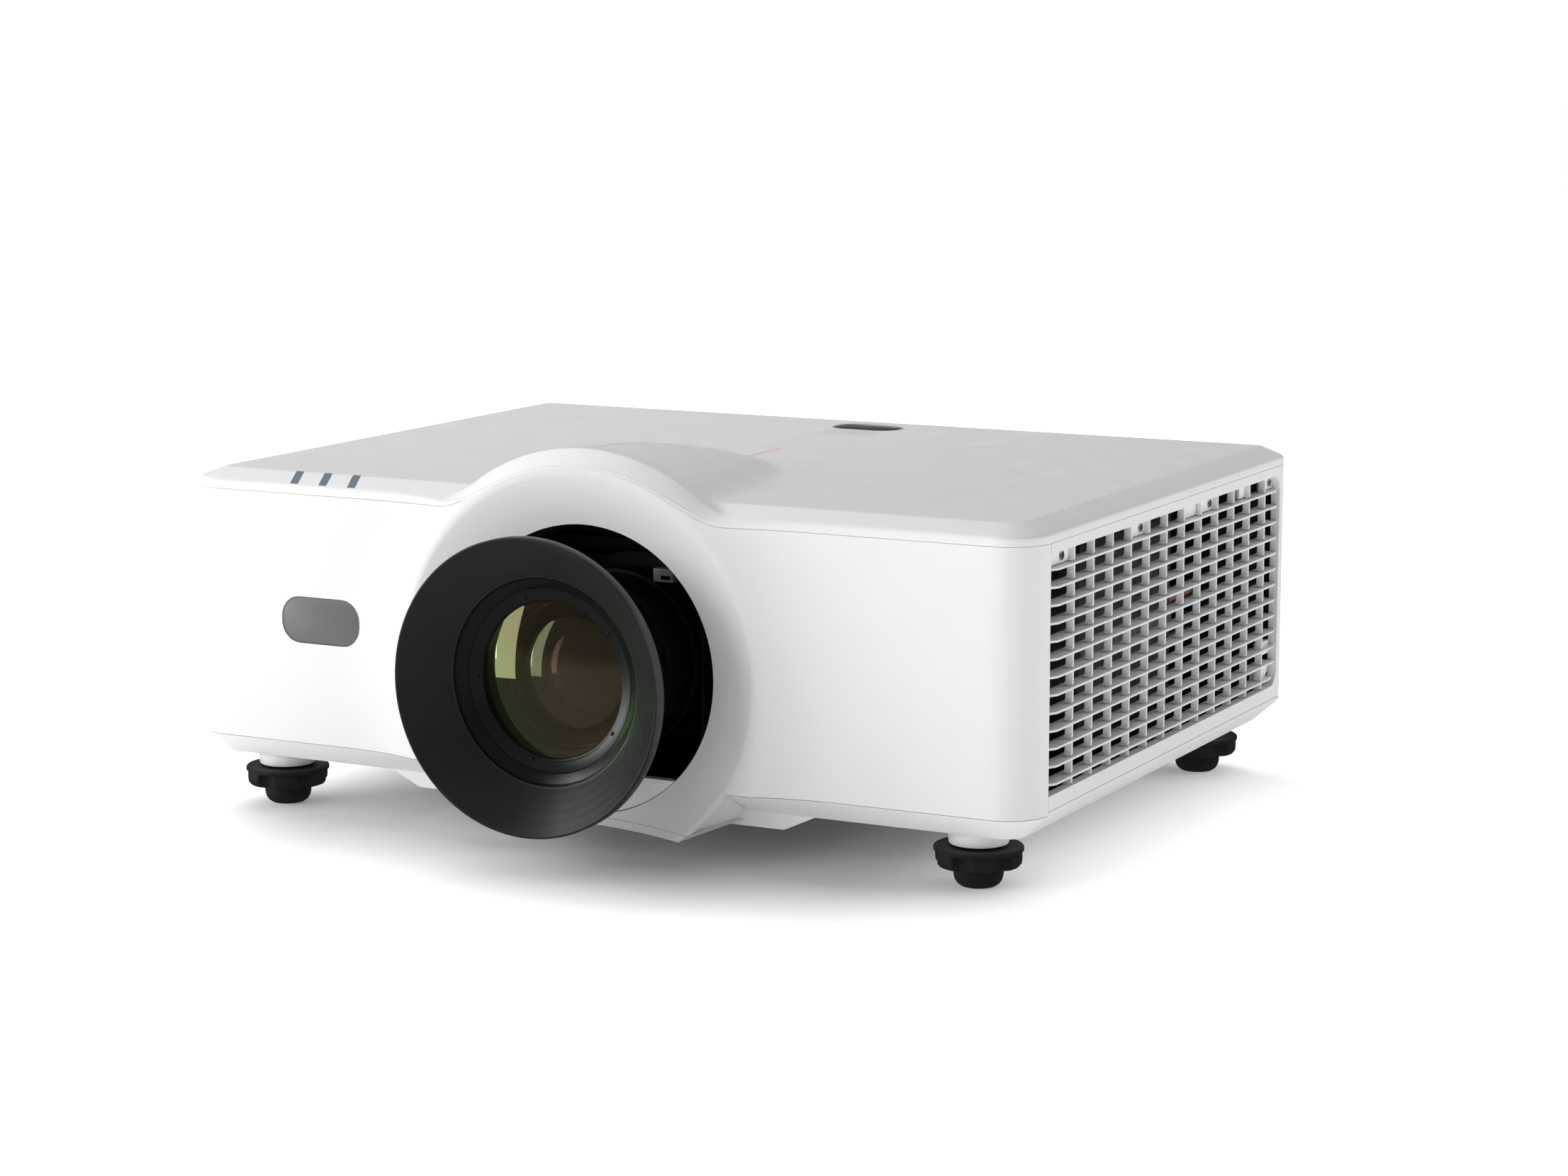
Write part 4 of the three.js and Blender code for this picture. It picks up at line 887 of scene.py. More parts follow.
def base_tray():
    """Chamfered rim, flat floor, the deeper housing under the lens, chin, sill, foot bosses and inserts."""
    plan, normal = cover_outline()
    kept = at_rear_corner(plan) | ~at_rear_corner(plan, TRAY_INSET + 4)
    plan, normal = plan[kept], normal[kept]
    plan[:, 1] = np.where(plan[:, 1] < FRONT, FRONT, plan[:, 1])
    x = plan[:, 0]
    on_front = plan[:, 1] < FRONT + 0.01
    swell = np.where(on_front & (np.abs(x) > 86), -front_depth(x, np.full_like(x, FACE_Z)), 0)
    rim = plan.copy()
    rim[:, 1] -= swell
    rim_z = np.where(plan[:, 1] > FRONT + CORNER_R - 0.1, SIDE_Z - 0.3, FACE_Z - 0.25)
    lip = inset_plan(rim, normal, SKIN)
    levels = [
        (inset_plan(plan, normal, TRAY_INSET + 1.2), UNDER_Z + 2.4),
        (inset_plan(plan, normal, TRAY_INSET + 0.2), UNDER_Z + 3.0),
        (lip, rim_z - 0.6), (lip, rim_z), (rim, rim_z), (rim, FACE_Z - 0.3),
        (inset_plan(plan, normal, 0.93 * TRAY_INSET), UNDER_Z + 0.6),
        (inset_plan(plan, normal, TRAY_INSET), UNDER_Z),
    ]
    shell = loft([np.column_stack([outline, np.broadcast_to(z, len(outline))]) for outline, z in levels])
    bulge_end = FRONT + 236
    profile = soften([(-124, UNDER_Z + 0.5), (-106, BULGE_Z), (106, BULGE_Z), (124, UNDER_Z + 0.5)], 1.0)
    bulge = loft([[(u, y, v + lift) for u, v in profile] for y, lift in
                  ((FRONT + 11.5, 0), (bulge_end - 8, 0), (bulge_end, 4))])
    bosses = [foot_boss(*spot) for spot in FOOT_SPOTS]
    insert = lathe(soften(CEILING_INSERT, 0.2)[2:], 40)
    inserts = [facing(insert, "up", (x, y, 0)) for x, y in CEILING_SPOTS]
    solid = join(shell, bulge, chin(), sill(), *bosses, *inserts)
    shell = piece("base_tray_shell", solid, white, replaced=("base_tray",), sharp=24)
    shell.data.materials.append(inner_shade_material)
    for polygon in shell.data.polygons:             # the broad inner floor is painted dark as shade
        if polygon.normal.z > 0.4 and abs(polygon.center.z / MM - UNDER_Z - 2.7) < 5 and polygon.area > 1e-4:
            polygon.material_index = 1


FEET = ("front_left", "front_right", "rear_left", "rear_right")
FOOT_SPOTS = [tuple(sum(box_mm(f"{name}_foot_knob"))[:2] / 2) for name in FEET]
CEILING_SPOTS = [(x, FRONT + d) for x in (-150, 150) for d in (60, 280)]
CEILING_INSERT = ((0, 30), (0, 38), (2.6, 38), (2.6, 28), (10, 28), (10, 34))


def foot_boss(x, y):
    """Round boss under the tray that a foot screws into."""
    profile = soften([(0, 21.4), (14.6, 21.4), (15.6, 30.5), (0, 30.5)], 0.8)
    return facing(lathe(profile, 64), "up", (x, y, 0))


# ---------------------------------------------------------------- side and rear walls
OPEN_LOW, OPEN_TOP, OPEN_REAR = 49.5, 166.2, FRONT + 341


def side_u(y):
    """Path length at a place along the flat side."""
    return SIDE_U + (y - FRONT - CORNER_R)


def corner_us(sign=1):
    """Path lengths across the rear corner, where the wall needs upright edges to turn on."""
    return [sign * u for u in (REAR_U, REAR_U + 1.2, REAR_U + 2.4, REAR_U + 3.6)]


def right_side():
    """Right wall, a frame round the exhaust opening that is open towards the front panel."""
    u0, u1 = side_u(FRONT + CORNER_R + 0.3), END_U - 0.2
    r = 9
    rear = side_u(OPEN_REAR)
    top = PARTING_Z - SEAM
    turns = corner_us()
    outline = [(u0, SIDE_Z)] + [(u, SIDE_Z) for u in turns] + [(u1, SIDE_Z), (u1, top)]
    outline += [(u, top) for u in reversed(turns)] + [(u0, top), (u0, OPEN_TOP)]
    outline += arc(rear - r, OPEN_TOP - r, r, 90, 0, 10) + arc(rear - r, OPEN_LOW + r, r, 0, -90, 10)
    outline += [(u0, OPEN_LOW)]
    skin = wall_skin([dense(outline, 12)], lines=[[(u, SIDE_Z), (u, top)] for u in turns])
    solid = thicken(*skin_towards(skin, 0, 1), 5.0)
    piece("right_side_shell", solid, white, replaced=("right_side_panel",),
          shade_painted_count=len(skin[1]))


DOOR_Y0, DOOR_Y1 = (box_mm("filter_cover")[i][1] for i in (0, 1))
DOOR_Z0, DOOR_Z1 = (box_mm("filter_cover")[i][2] for i in (0, 1))
DOOR_SLOT_ROWS, DOOR_SLOT_PITCH = 8, 9.6


def left_side():
    """Left wall with the filter door's opening and the pocket behind it."""
    u0, u1 = -side_u(FRONT + CORNER_R + 0.3), -(END_U - 0.2)
    top = PARTING_Z - SEAM
    turns = corner_us(-1)
    outline = [(u0, SIDE_Z), (u0, top)] + [(u, top) for u in turns] + [(u1, top), (u1, SIDE_Z)]
    outline = dense(outline + [(u, SIDE_Z) for u in reversed(turns)], 12)
    opening = rounded_rectangle(-side_u(DOOR_Y1 + 0.8), -side_u(DOOR_Y0 - 0.8), DOOR_Z0 - 2, DOOR_Z1 + 0.8,
                                1.5, 3)
    skin = wall_skin([outline, opening], lines=[[(u, SIDE_Z), (u, top)] for u in turns])
    frame_wall = thicken(*skin_towards(skin, 0, -1), SKIN)
    pocket = rounded_rectangle(-DOOR_Y1 - 3, -DOOR_Y0 + 3, DOOR_Z0 - 4, DOOR_Z1 + 3, 2, 3)
    lip = rounded_rectangle(-DOOR_Y1 + 4, -DOOR_Y0 - 4, DOOR_Z0 + 4, DOOR_Z1 - 4, 2, 3)
    walls = facing(tray(pocket, lip, HALF - 19, HALF - 2.5), "left")
    piece("left_side_shell", join(frame_wall, walls), white, replaced=("left_side_panel",),
          shade_painted_count=len(skin[1]))


def tray(outer, opening, low, high):
    """Open-topped tray with a window in its floor, both outlines with the same number of points."""
    wall_in = offset(outer, 1.5)
    rings = [(outer, high), (outer, low), (opening, low), (opening, low + 1.5), (wall_in, low + 1.5),
             (wall_in, high)]
    return loft([[(u, v, h) for u, v in loop] for loop, h in rings], closed=True)


def filter_door():
    """Door with two columns of level slots."""
    outline = rounded_rectangle(-DOOR_Y1, -DOOR_Y0, DOOR_Z0, DOOR_Z1, 1.5, 3)
    slots = []
    for z in DOOR_Z0 + 9 + DOOR_SLOT_PITCH * np.arange(DOOR_SLOT_ROWS):
        for y in (DOOR_Y0 + 10, DOOR_Y0 + 116):
            slots.append(rounded_rectangle(-y - 104, -y, z, z + 5.2, 2.5, 4))
    flat, faces, _ = triangulate([outline] + slots)
    skin = (np.column_stack([flat, np.full(len(flat), HALF - 0.02)]), faces)
    door = facing(thicken(*skin_towards(skin, 2, 1), 2.2), "left")
    piece("filter_door", door, white, "filter_cover", replaced=("filter_cover",))


PLATE_LOW, PLATE_HIGH = box_mm("connector_plate")
PAD_LOW, PAD_HIGH = box_mm("keypad_panel")
INLET_LOW, INLET_HIGH = box_mm("ac_inlet")
VENT_ROWS, VENT_PITCH, VENT_Z = 7, 9, 100
VENT_SPANS = ((60, 130), (133, 205))
REAR_SCREWS = ((-225, 52), (225, 52), (-225, 162), (225, 162), (40, 100))


def rear_wall():
    """Rear wall with its openings, the foam behind its vents, and its screws."""
    outline = dense([(-HALF + 3.0, SIDE_Z), (HALF - 3.0, SIDE_Z), (HALF - 3.0, PARTING_Z - SEAM),
                     (-HALF + 3.0, PARTING_Z - SEAM)], 30)

    def opening(low, high, grow, r):
        return rounded_rectangle(low[0] - grow, high[0] + grow, low[2] - grow, high[2] + grow, r, 5)

    holes = [opening(PLATE_LOW, PLATE_HIGH, 0.3, 2), opening(PAD_LOW, PAD_HIGH, 0.3, 6),
             opening(INLET_LOW, INLET_HIGH, 0.4, 1)]
    for row in range(VENT_ROWS):
        z = VENT_Z + row * VENT_PITCH
        holes += [rounded_rectangle(x0, x1, z, z + 4.5, 2.2, 4) for x0, x1 in VENT_SPANS]
    flat, faces, _ = triangulate([outline] + holes)
    skin = (np.column_stack([flat[:, 0], np.full(len(flat), REAR - 0.02), flat[:, 1]]), faces)
    solid = thicken(*skin_towards(skin, 1, 1), SKIN)
    piece("rear_wall_shell", solid, white, replaced=("rear_panel",), shade_painted_count=len(faces))
    foam = block(VENT_SPANS[0][0] - 4, VENT_SPANS[1][1] + 4, REAR - 6.5, REAR - 3.2, VENT_Z - 4, 162, 0.6)
    piece("rear_vent_foam", foam, foam_black)
    heads = [facing(screw(2.7), "rear", (x, REAR - 1.1, z)) for x, z in REAR_SCREWS]
    piece("rear_wall_screws", join(*heads), black_metal)


def screw(r):
    """Low round head with a cross recess, built round the local z axis."""
    arm, deep = 0.32 * r, 0.55
    profile = soften([(0.9 * r, 0), (r, 0.25), (0.8 * r, 0.95), (0.62 * r, 1.0)], 0.15)
    quarter = ((0.55 * r, -arm / 2), (0.55 * r, arm / 2), (arm / 2, arm / 2))
    turns = ((1, 0), (0, 1), (-1, 0), (0, -1))
    star = [(u * c - v * s, u * s + v * c) for c, s in turns for u, v in quarter]
    outer = arc(0, 0, 0.62 * r, 0, 360 - 15, 23)
    flat, faces, _ = triangulate([outer, star])
    top = thicken(np.column_stack([flat, np.full(len(flat), 1.0)]), faces, deep)
    floor = plate(arc(0, 0, 0.6 * r, 0, 330, 11), 0.1, 1.0 - deep, 0.02)
    ring = lathe([(0.62 * r, 0)] + profile, 24, closed=True)
    return join(outward(*top), floor, ring)


def seam_strip(points, inward, setback=0.7, half=1.6, thick=0.8):
    """Light strip set behind a seam so that the gap reads as a shallow line."""
    rings = []
    for (x, y, z), (nx, ny) in zip(points, inward):
        near, far = ((x + nx * depth, y + ny * depth) for depth in (setback, setback + thick))
        rings.append([(*near, z - half), (*far, z - half), (*far, z + half), (*near, z + half)])
    return loft(rings)


def seams():
    """Strip behind the seam under the cover, left open at the rear."""
    plan, normal = cover_outline()
    on_front = plan[:, 1] < FRONT + 0.01
    top = np.column_stack([plan, np.where(on_front, seam_z(plan[:, 0]), PARTING_Z)])
    kept = [i for i, (x, y) in enumerate(plan) if y < REAR - REAR_CORNER_R - 0.5 or abs(x) > HALF - 3]
    order = sorted(kept, key=lambda i: wall_order(plan[i]))
    piece("cover_seam_strip", seam_strip(top[order], -normal[order]), white)


def wall_order(point):
    """Signed distance round the walls, to sort plan points from the rear left to the rear right."""
    x, y = point
    return math.copysign(abs(x) + (y - FRONT if abs(x) > FLAT_U else 0), x)


# ---------------------------------------------------------------- exhaust grille
LOUVRE_PITCH, FIRST_LOUVRE, LOUVRES = 8.667, FACE_Z + 13.0, 13
RIB_PITCH, FIRST_RIB, RIBS = 24.34, FRONT + 54.3, 12
TOP_BLOCKS = ((31, 53.5), (129, 151), (204, 223.5), (228, 251), (288, 299), (323, 340))
GRILLE_SCREWS, GRILLE_SCREW_Z = (43.3, 144.7, 242.2, 334.4), 162.6


def louvre(z, rear_end, nose_end):
    """Level blade with a rounded front edge that tapers in towards the front panel."""
    section = soften([(-0.8, -0.62), (-0.8, 0.62), (-9.0, 0.95), (-9.0, 0.15)], 0.35, closed=True, steps=2)
    stations = [(FRONT + CORNER_R + 1, -5.2), (FRONT + CORNER_R + 6, -2.9), (nose_end, -0.15),
                (nose_end + 3, 0), (rear_end - 4, 0), (rear_end, -0.6)]
    rings = []
    for y, push in stations:
        shrink = 1 + push / 8.2
        rings.append([(HALF + push + (u + 0.8) * max(shrink, 0.3) - 0.8, y, z + v) for u, v in section])
    return loft(rings)


def rib(y, low, high):
    """Upright between two blades, flaring towards the front where it meets the lower blade."""
    w, flare = 0.72, 2.3            # half width, and radius of the flare
    outline = [(y + w, low), (y + w, high), (y - w, high)]
    outline += arc(y - w - flare, low + flare, flare, 0, -90, 5)
    return facing(plate(outline, HALF - 5.4, HALF - 1.6, 0.35), "right")


def grille():
    """Exhaust grille: level blades, the uprights between them, and the blocks round its edge."""
    solids = []
    for i in range(LOUVRES):
        z = FIRST_LOUVRE + LOUVRE_PITCH * i
        rear_end = OPEN_REAR - (3.4 if i == 0 else 1.4 if i == LOUVRES - 1 else 0.6)
        solids.append(louvre(z, rear_end, FRONT + 33))
    for k in range(RIBS):
        y = FIRST_RIB + RIB_PITCH * k
        for i in range(-1, LOUVRES):
            low = OPEN_LOW + 0.2 if i < 0 else FIRST_LOUVRE + LOUVRE_PITCH * i + 1.6
            high = OPEN_TOP - 0.2 if i == LOUVRES - 1 else FIRST_LOUVRE + LOUVRE_PITCH * (i + 1) + 1.0
            solids.append(rib(y, low, high))
    top_row = FIRST_LOUVRE + LOUVRE_PITCH * (LOUVRES - 1) + 1.2
    for y0, y1 in TOP_BLOCKS:
        solids.append(block(HALF - 7, HALF - 4.2, FRONT + y0, FRONT + y1, top_row, OPEN_TOP + 1, 0.5))
    low_block = soften([(323, 50), (332, 50), (340, 58), (340, 63), (323, 63)], 2, closed=True)
    corner = plate([(FRONT + u, v) for u, v in low_block], HALF - 9, HALF - 4.4, 0.5)
    solids.append(facing(corner, "right"))
    solids.append(block(HALF - 7, HALF - 4.2, FRONT + 323, FRONT + 340.5, 67, 74.5, 0.5))
    rim = block(HALF - 12, HALF - 9.2, FRONT + CORNER_R + 1, FRONT + CORNER_R + 3, OPEN_LOW, OPEN_TOP, 0.4)
    piece("exhaust_grille", join(*solids, rim), white, replaced=("right_grille",), sharp=30)
    heads = [facing(screw(2.65), "right", (HALF - 4.3, FRONT + y, GRILLE_SCREW_Z)) for y in GRILLE_SCREWS]
    piece("grille_screws", join(*heads), steel)


# ---------------------------------------------------------------- windows and indicators
def windows():
    """Infrared windows on the front and top, and the three status lights."""
    front = facing(plate(offset(IR_FRONT, 0.3), -FRONT - 2.2, -FRONT - 0.35, 0.5), "front")
    piece("front_window", front, smoked, replaced=("front_ir_window",))
    top = plate(offset(IR_TOP, 0.35), TOP_Z - 2.2, TOP_Z - 0.5, 0.6)
    piece("top_window", top, dark_window, replaced=("top_ir_window",))
    pipes = []
    for x in PIPE_X:
        line = [(u, FRONT + TOP_INSET) for u in (x - 9, x + 1)]
        flat, faces, _ = triangulate([dense(pipe_outline(x, 0.05), 2)], lines=[line])
        keep = inside(flat[np.array(faces)].mean(axis=1), [pipe_outline(x, 0.05)])
        faces = [f for f, k in zip(faces, keep) if k]
        points = np.column_stack([flat, cover_height(flat[:, 0], flat[:, 1]) - 0.12])
        pipes.append(thicken(*skin_towards((points, faces), 2, 1), 2.5))
    piece("status_lights", join(*pipes), pipe_blue, replaced=("status_light_pipes",))


# ---------------------------------------------------------------- feet
KNOB_SCALLOPS = 6
SCALLOP_WIDTH, SCALLOP_DEPTH = 0.42, 3.9            # width as a share of the spacing, depth at full strength


def foot_knob():
    """Hand wheel of the foot: round flange over a scalloped skirt, from [radius, height, scallop share]."""
    levels = [(4, 9.95, 0), (17.5, 9.95, 0.5), (20.0, 10.6, 0.8), (21.2, 12.2, 1), (21.4, 14.5, 1),
              (21.4, 17.0, 1), (21.2, 17.7, 1), (21.4, 17.75, 0), (22.0, 18.1, 0), (22.0, 19.6, 0),
              (21.4, 20.2, 0), (16.5, 20.3, 0), (11.0, 20.3, 0), (10.6, 20.9, 0), (4, 20.9, 0)]
    segments = 144
    rings = []
    for r, z, depth in levels:
        ring = []
        for i in range(segments):
            a = 2 * math.pi * i / segments
            wave = abs(((a * KNOB_SCALLOPS / (2 * math.pi)) % 1) - 0.5) * 2
            notch = max(0.0, 1 - (wave / SCALLOP_WIDTH) ** 2) ** 0.5
            radius = r - SCALLOP_DEPTH * depth * notch
            ring.append((radius * math.cos(a), radius * math.sin(a), z))
        rings.append(ring)
    skirt = loft(rings)
    shank = lathe(soften([(0, 20), (3.9, 20), (3.9, 43.5), (3.4, 44), (0, 44)], 0.2), 32)
    return join(skirt, shank)


def foot_pad():
    """Rubber pad under the foot."""
    profile = [(0, 0.0), (7.0, 0.0), (8.6, 0.35), (10.4, 1.6), (11.6, 3.4), (12.2, 5.8), (12.4, 9.2),
               (12.2, 9.6), (0, 9.6)]
    return lathe(profile, 72)


def feet():
    """The knob and pad of each foot, on their own CAD bodies."""
    for name, (x, y) in zip(FEET, FOOT_SPOTS):
        knob = facing(foot_knob(), "up", (x, y, 0))
        piece(f"{name}_knob", knob, rubber, f"{name}_foot_knob",
              replaced=(f"{name}_foot_knob",), sharp=35)
        pad = facing(foot_pad(), "up", (x, y, 0))
        piece(f"{name}_pad", pad, rubber, f"{name}_foot_pad", replaced=(f"{name}_foot_pad",))


# ---------------------------------------------------------------- lens
MOTOR_ANGLE = 225               # direction from the lens axis to the zoom and focus motors
THROAT_R, THROAT_START = 51.9, -33                  # the hood's smooth throat: its radius and rear end

# Name, radius, vertex, radius of curvature, edge thickness, tint face on, tint at a slant, reflectance.
LENS_ELEMENTS = (
    ("front_element", 39.2, -36.4, 140, 5.0, (0.90, 0.66, 0.40), (0.42, 0.80, 0.30), 0.19),
    ("second_element", 36.6, -26.0, 70, 3.5, (0.92, 0.90, 0.66), (0.70, 0.92, 0.46), 0.165),
    ("third_element", 31.6, -15.0, 52, 3.5, (0.95, 0.55, 0.50), (0.90, 0.80, 0.55), 0.105),
    ("fourth_element", 27.6, -2.0, 38, 3.0, (0.95, 0.55, 0.32), (0.95, 0.62, 0.40), 0.08),
)
CELL_EDGES = ((36.7, -12.1), (31.9, 0.9), (27.9, 12.9), (23.9, 22.9))   # radius and depth of the cell rims, their lighter colour a painted highlight


def on_axis(solid):
    """Stands a solid built about Z on the lens axis, its z = 0 at the front plane."""
    return facing(solid, "axis", (0, FRONT, LENS_Z))


def spun(solid, degrees):
    """Turns a solid about its local z axis."""
    points, faces = solid
    u, v, w = np.asarray(points, float).T
    c, s = math.cos(math.radians(degrees)), math.sin(math.radians(degrees))
    return np.column_stack([u * c - v * s, u * s + v * c, w]), faces


def soft_ring(profile, r, segments, steps=2):
    """Ring about Z from a closed [radius, height] profile, its corners rounded."""
    return lathe(soften(profile, r, closed=True, steps=steps), segments, closed=True)


def lens_hood():
    hood = soft_ring([
        (46.15, -33.4), (46.15, -34.3), (50.9, -37.2), (51.6, -37.9), (THROAT_R, -39.3), (52.8, -39.6),
        (73.0, -58.6), (74.0, -58.4), (74.0, -51.2), (73.3, -50.6), (73.3, -49.8), (72.6, -48.7),
        (70.5, -48.4), (49.6, -27.2), (48.6, -25.5), (48.6, -20.4), (46.3, -20.4), (46.3, -29.5),
        (47.4, -30.4), (47.4, -33.0),
    ], 0.35, 160)
    shell = piece("lens_hood_shell", on_axis(hood), hood_black, "lens_mount",
                  replaced=("lens_hood",), sharp=30)
    shell.data.materials.append(inner_black)
    for polygon in shell.data.polygons:
        x, y, z = (c / MM for c in polygon.center)
        if math.hypot(x, z - LENS_Z) < THROAT_R and y - FRONT < THROAT_START:
            polygon.material_index = 1


def retaining_ring():
    bowl = soft_ring([(46.05, -31.4), (46.05, -34.25), (41.2, -32.2), (39.9, -31.9), (39.3, -31.2),
                      (39.3, -30.6)], 0.3, 128)
    lug = block(-0.9, 0.9, 41.2, 42.6, -33.1, -32.0, 0.2)
    lugs = [spun(lug, angle) for angle in range(20, 360, 72)]
    piece("retaining_ring", on_axis(join(bowl, *lugs)), inner_black, "lens_mount",
          replaced=("lens_retaining_ring",))


def lens_cells():
    """Stepped inside of the barrel that carries the elements."""
    cells = soft_ring([
        (39.6, -28.2), (41.5, -28.8), (44.6, -29.8), (44.6, -3), (42.6, -3), (42.6, 54), (33.4, 54),
        (33.4, 59.4), (12, 57.6), (12, 40), (17, 37), (17, 32.5), (20, 31), (20, 25), (24, 23), (24, 15),
        (28, 13), (28, 3), (32, 1), (32, -9), (36.8, -12), (36.8, -22.5), (39.4, -24),
    ], 0.4, 112)
    piece("lens_cells", on_axis(cells), cell_brown, "lens_mount")


def zoom_barrel():
    barrel = soft_ring([
        (44.9, -30.2), (46, -31), (46, -2), (44, -2), (44, 55.9), (52, 55.9), (52, 61.7), (34, 61.7),
        (34, 54.6), (43, 54.6), (43, -2.6), (44.9, -2.6),
    ], 0.3, 112)
    saddles = [spun(block(-10, 10, 42, 47, y - 6, y + 1, 0.5), MOTOR_ANGLE - 90) for y in (26, 53)]
    piece("zoom_barrel", on_axis(join(barrel, *saddles)), barrel_black, "lens_mount",
          replaced=("lens_barrel",))


def lens_elements():
    for name, r, vertex, curve, thick, centre, rim, reflectance in LENS_ELEMENTS:
        sag = [(r * t, vertex + curve - math.sqrt(curve**2 - (r * t) ** 2)) for t in np.linspace(0, 1, 24)]
        edge = sag[-1][1] + thick
        solid = on_axis(lathe(sag + [(r, edge), (0, edge)], 96))
        coating = coated_glass(f"{name}_coating", centre, rim, reflectance)
        replaced = ("front_lens",) if name == "front_element" else ()
        element = piece(name, solid, coating, "lens_mount", replaced=replaced)
        element.data.materials.append(clear_glass)
        for polygon in element.data.polygons:
            polygon.material_index = 0 if polygon.normal.y < -0.1 else 1


def lens_insides():
    """Rims of the inner cells, their lighter colour a painted highlight, and the dark iris behind the
    elements.
    """
    rims = [soft_ring([(r - 0.5, y), (r - 0.5, y - 0.3), (r, y - 0.45), (r, y)], 0.12, 96, steps=3)
            for r, y in CELL_EDGES]
    piece("cell_edges", on_axis(join(*rims)), cell_rim_highlight, "lens_mount")
    iris = lathe(soften([(0, 38), (6, 37.6), (11.9, 38), (11.9, 41), (0, 41)], 0.4), 64)
    piece("iris", on_axis(iris), cell_brown, "lens_mount")


def lens_bay():
    """Black liner behind the lens opening: the walls of the bay, a post, a fin and a plate over the lens."""
    start, end = FRONT + 17, FRONT + 58
    walls = [
        block(-72, -70, start, end, 32.5, 167), block(70, 72, start, end, 32.5, 167),
        block(-70, 70, start, end, 165.2, 167), block(-70, 70, start, end, 32.5, 34),
        block(28, 40, FRONT + 29, FRONT + 32, 143.6, 166), block(56, 58, FRONT + 18, FRONT + 56, 60, 128),
        block(-69, 69, FRONT + 56.4, FRONT + 57.8, 154, 165, 0.3),
    ]
    piece("lens_bay_liner", join(*walls), bay_black, replaced=("lens_bay_shroud",))


def lens_bay_collar():
    """Round collar just inside the lens opening, with a step."""
    collar = soft_ring([(73.0, 2.8), (73.0, 15.5), (72.2, 16.3), (72.0, 17.2), (72.0, 40), (74.5, 40),
                        (74.5, 2.8)], 0.3, 128)
    piece("lens_bay_collar", on_axis(collar), collar_grey)


def lens_release():
    """Latch button above the lens: cap, grip and stem."""
    low, high = box_mm("lens_release_button")
    x, _, z = (low + high) / 2
    y = low[1]
    cap = block(x - 5.7, x + 5.7, y, y + 5, z - 3.5, z + 3.5, 0.7)
    grip = block(x - 1.5, x + 4.6, y, y + 1.2, z - 2.4, z + 0.2, 0.3)
    stem = block(x - 3, x + 3, y + 4.5, y + 19, z - 2, z + 2)
    piece("lens_release", join(cap, grip, stem), latch_grey, "lens_release_button",
          replaced=("lens_release_button",))


# ---------------------------------------------------------------- cooling seen through the grille
FIN_PITCH, FIN_THICKNESS = 2.5, 0.5
HEAT_PIPE_R = 3
GLINT_LOW, GLINT_HIGH = 98.5, 106.5                     # band of painted highlight on the folded fin edges, where they catch the light


def cooling():
    """Heatsink fins, a band of painted highlight on their tips, and two heat pipes."""
    low, high = box_mm("laser_heatsink")
    places = np.arange(low[1], high[1], FIN_PITCH)
    fins = [block(low[0] + 4, high[0] - 1, y, y + FIN_THICKNESS, low[2], high[2], 0.1) for y in places]
    # Painted highlight: lighter metal strips on the fin ends, only in the band where the light catches them.
    painted_glints = [block(high[0] - 3, high[0], y + 0.1, y + 0.75, GLINT_LOW, GLINT_HIGH, 0.1) for y in places]
    base = block(low[0], low[0] + 5, low[1], high[1], low[2], high[2], 0.5)
    piece("heatsink_fins", join(base, *fins), fin_metal, replaced=("laser_heatsink",))
    piece("heatsink_painted_highlight", join(*painted_glints), aluminium)
    for index in (1, 2):
        low, high = box_mm(f"heat_pipe_{index}")
        right, rear = high[0] - HEAT_PIPE_R, high[1] - HEAT_PIPE_R
        corners = [(low[0], rear), (high[0] - 12, rear), (right, high[1] - 8), (right, low[1] + 16),
                   (right, low[1])]
        path = [(x, y, (low[2] + high[2]) / 2) for x, y in soften(corners, 14, steps=8)]
        piece(f"copper_pipe_{index}", tube(path, HEAT_PIPE_R), copper,
              replaced=(f"heat_pipe_{index}",))


# ---------------------------------------------------------------- rear controls
KEYS = ("power", "source", "menu", "up", "down", "left", "right", "enter")


def keypad():
    """Control plate on the rear with one domed key in each round hole."""
    holes = []
    for name in KEYS:
        low, high = box_mm(f"{name}_button")
        centre, r = (low + high) / 2, (high[0] - low[0]) / 2 - 1.4
        holes.append((centre, r))
    outline = rounded_rectangle(-PAD_HIGH[0], -PAD_LOW[0], PAD_LOW[2], PAD_HIGH[2], 5.7)
    loops = [arc(-c[0], c[2], r + 0.35, 0, 354, 59) for c, r in holes]
    flat, faces, _ = triangulate([outline] + loops)
    skin = (np.column_stack([flat, np.full(len(flat), PAD_HIGH[1])]), faces)
    panel = facing(thicken(*skin_towards(skin, 2, 1), 2.6), "rear")
    piece("keypad_plate", panel, grey, replaced=("keypad_panel",))
    for name, (centre, r) in zip(KEYS, holes):
        dome = [(0, 0), (r + 1.3, 0), (r + 1.3, 1.4), (r - 0.1, 1.5), (r, 2.0), (r, 5.3), (r - 0.25, 5.8),
                (r - 0.8, 6.05), (0.6 * r, 6.0), (0, 5.85)]
        solid = facing(lathe(dome, 48), "rear", (centre[0], PAD_HIGH[1] - 4.7, centre[2]))
        piece(f"{name}_key", solid, white, f"{name}_button", replaced=(f"{name}_button",))


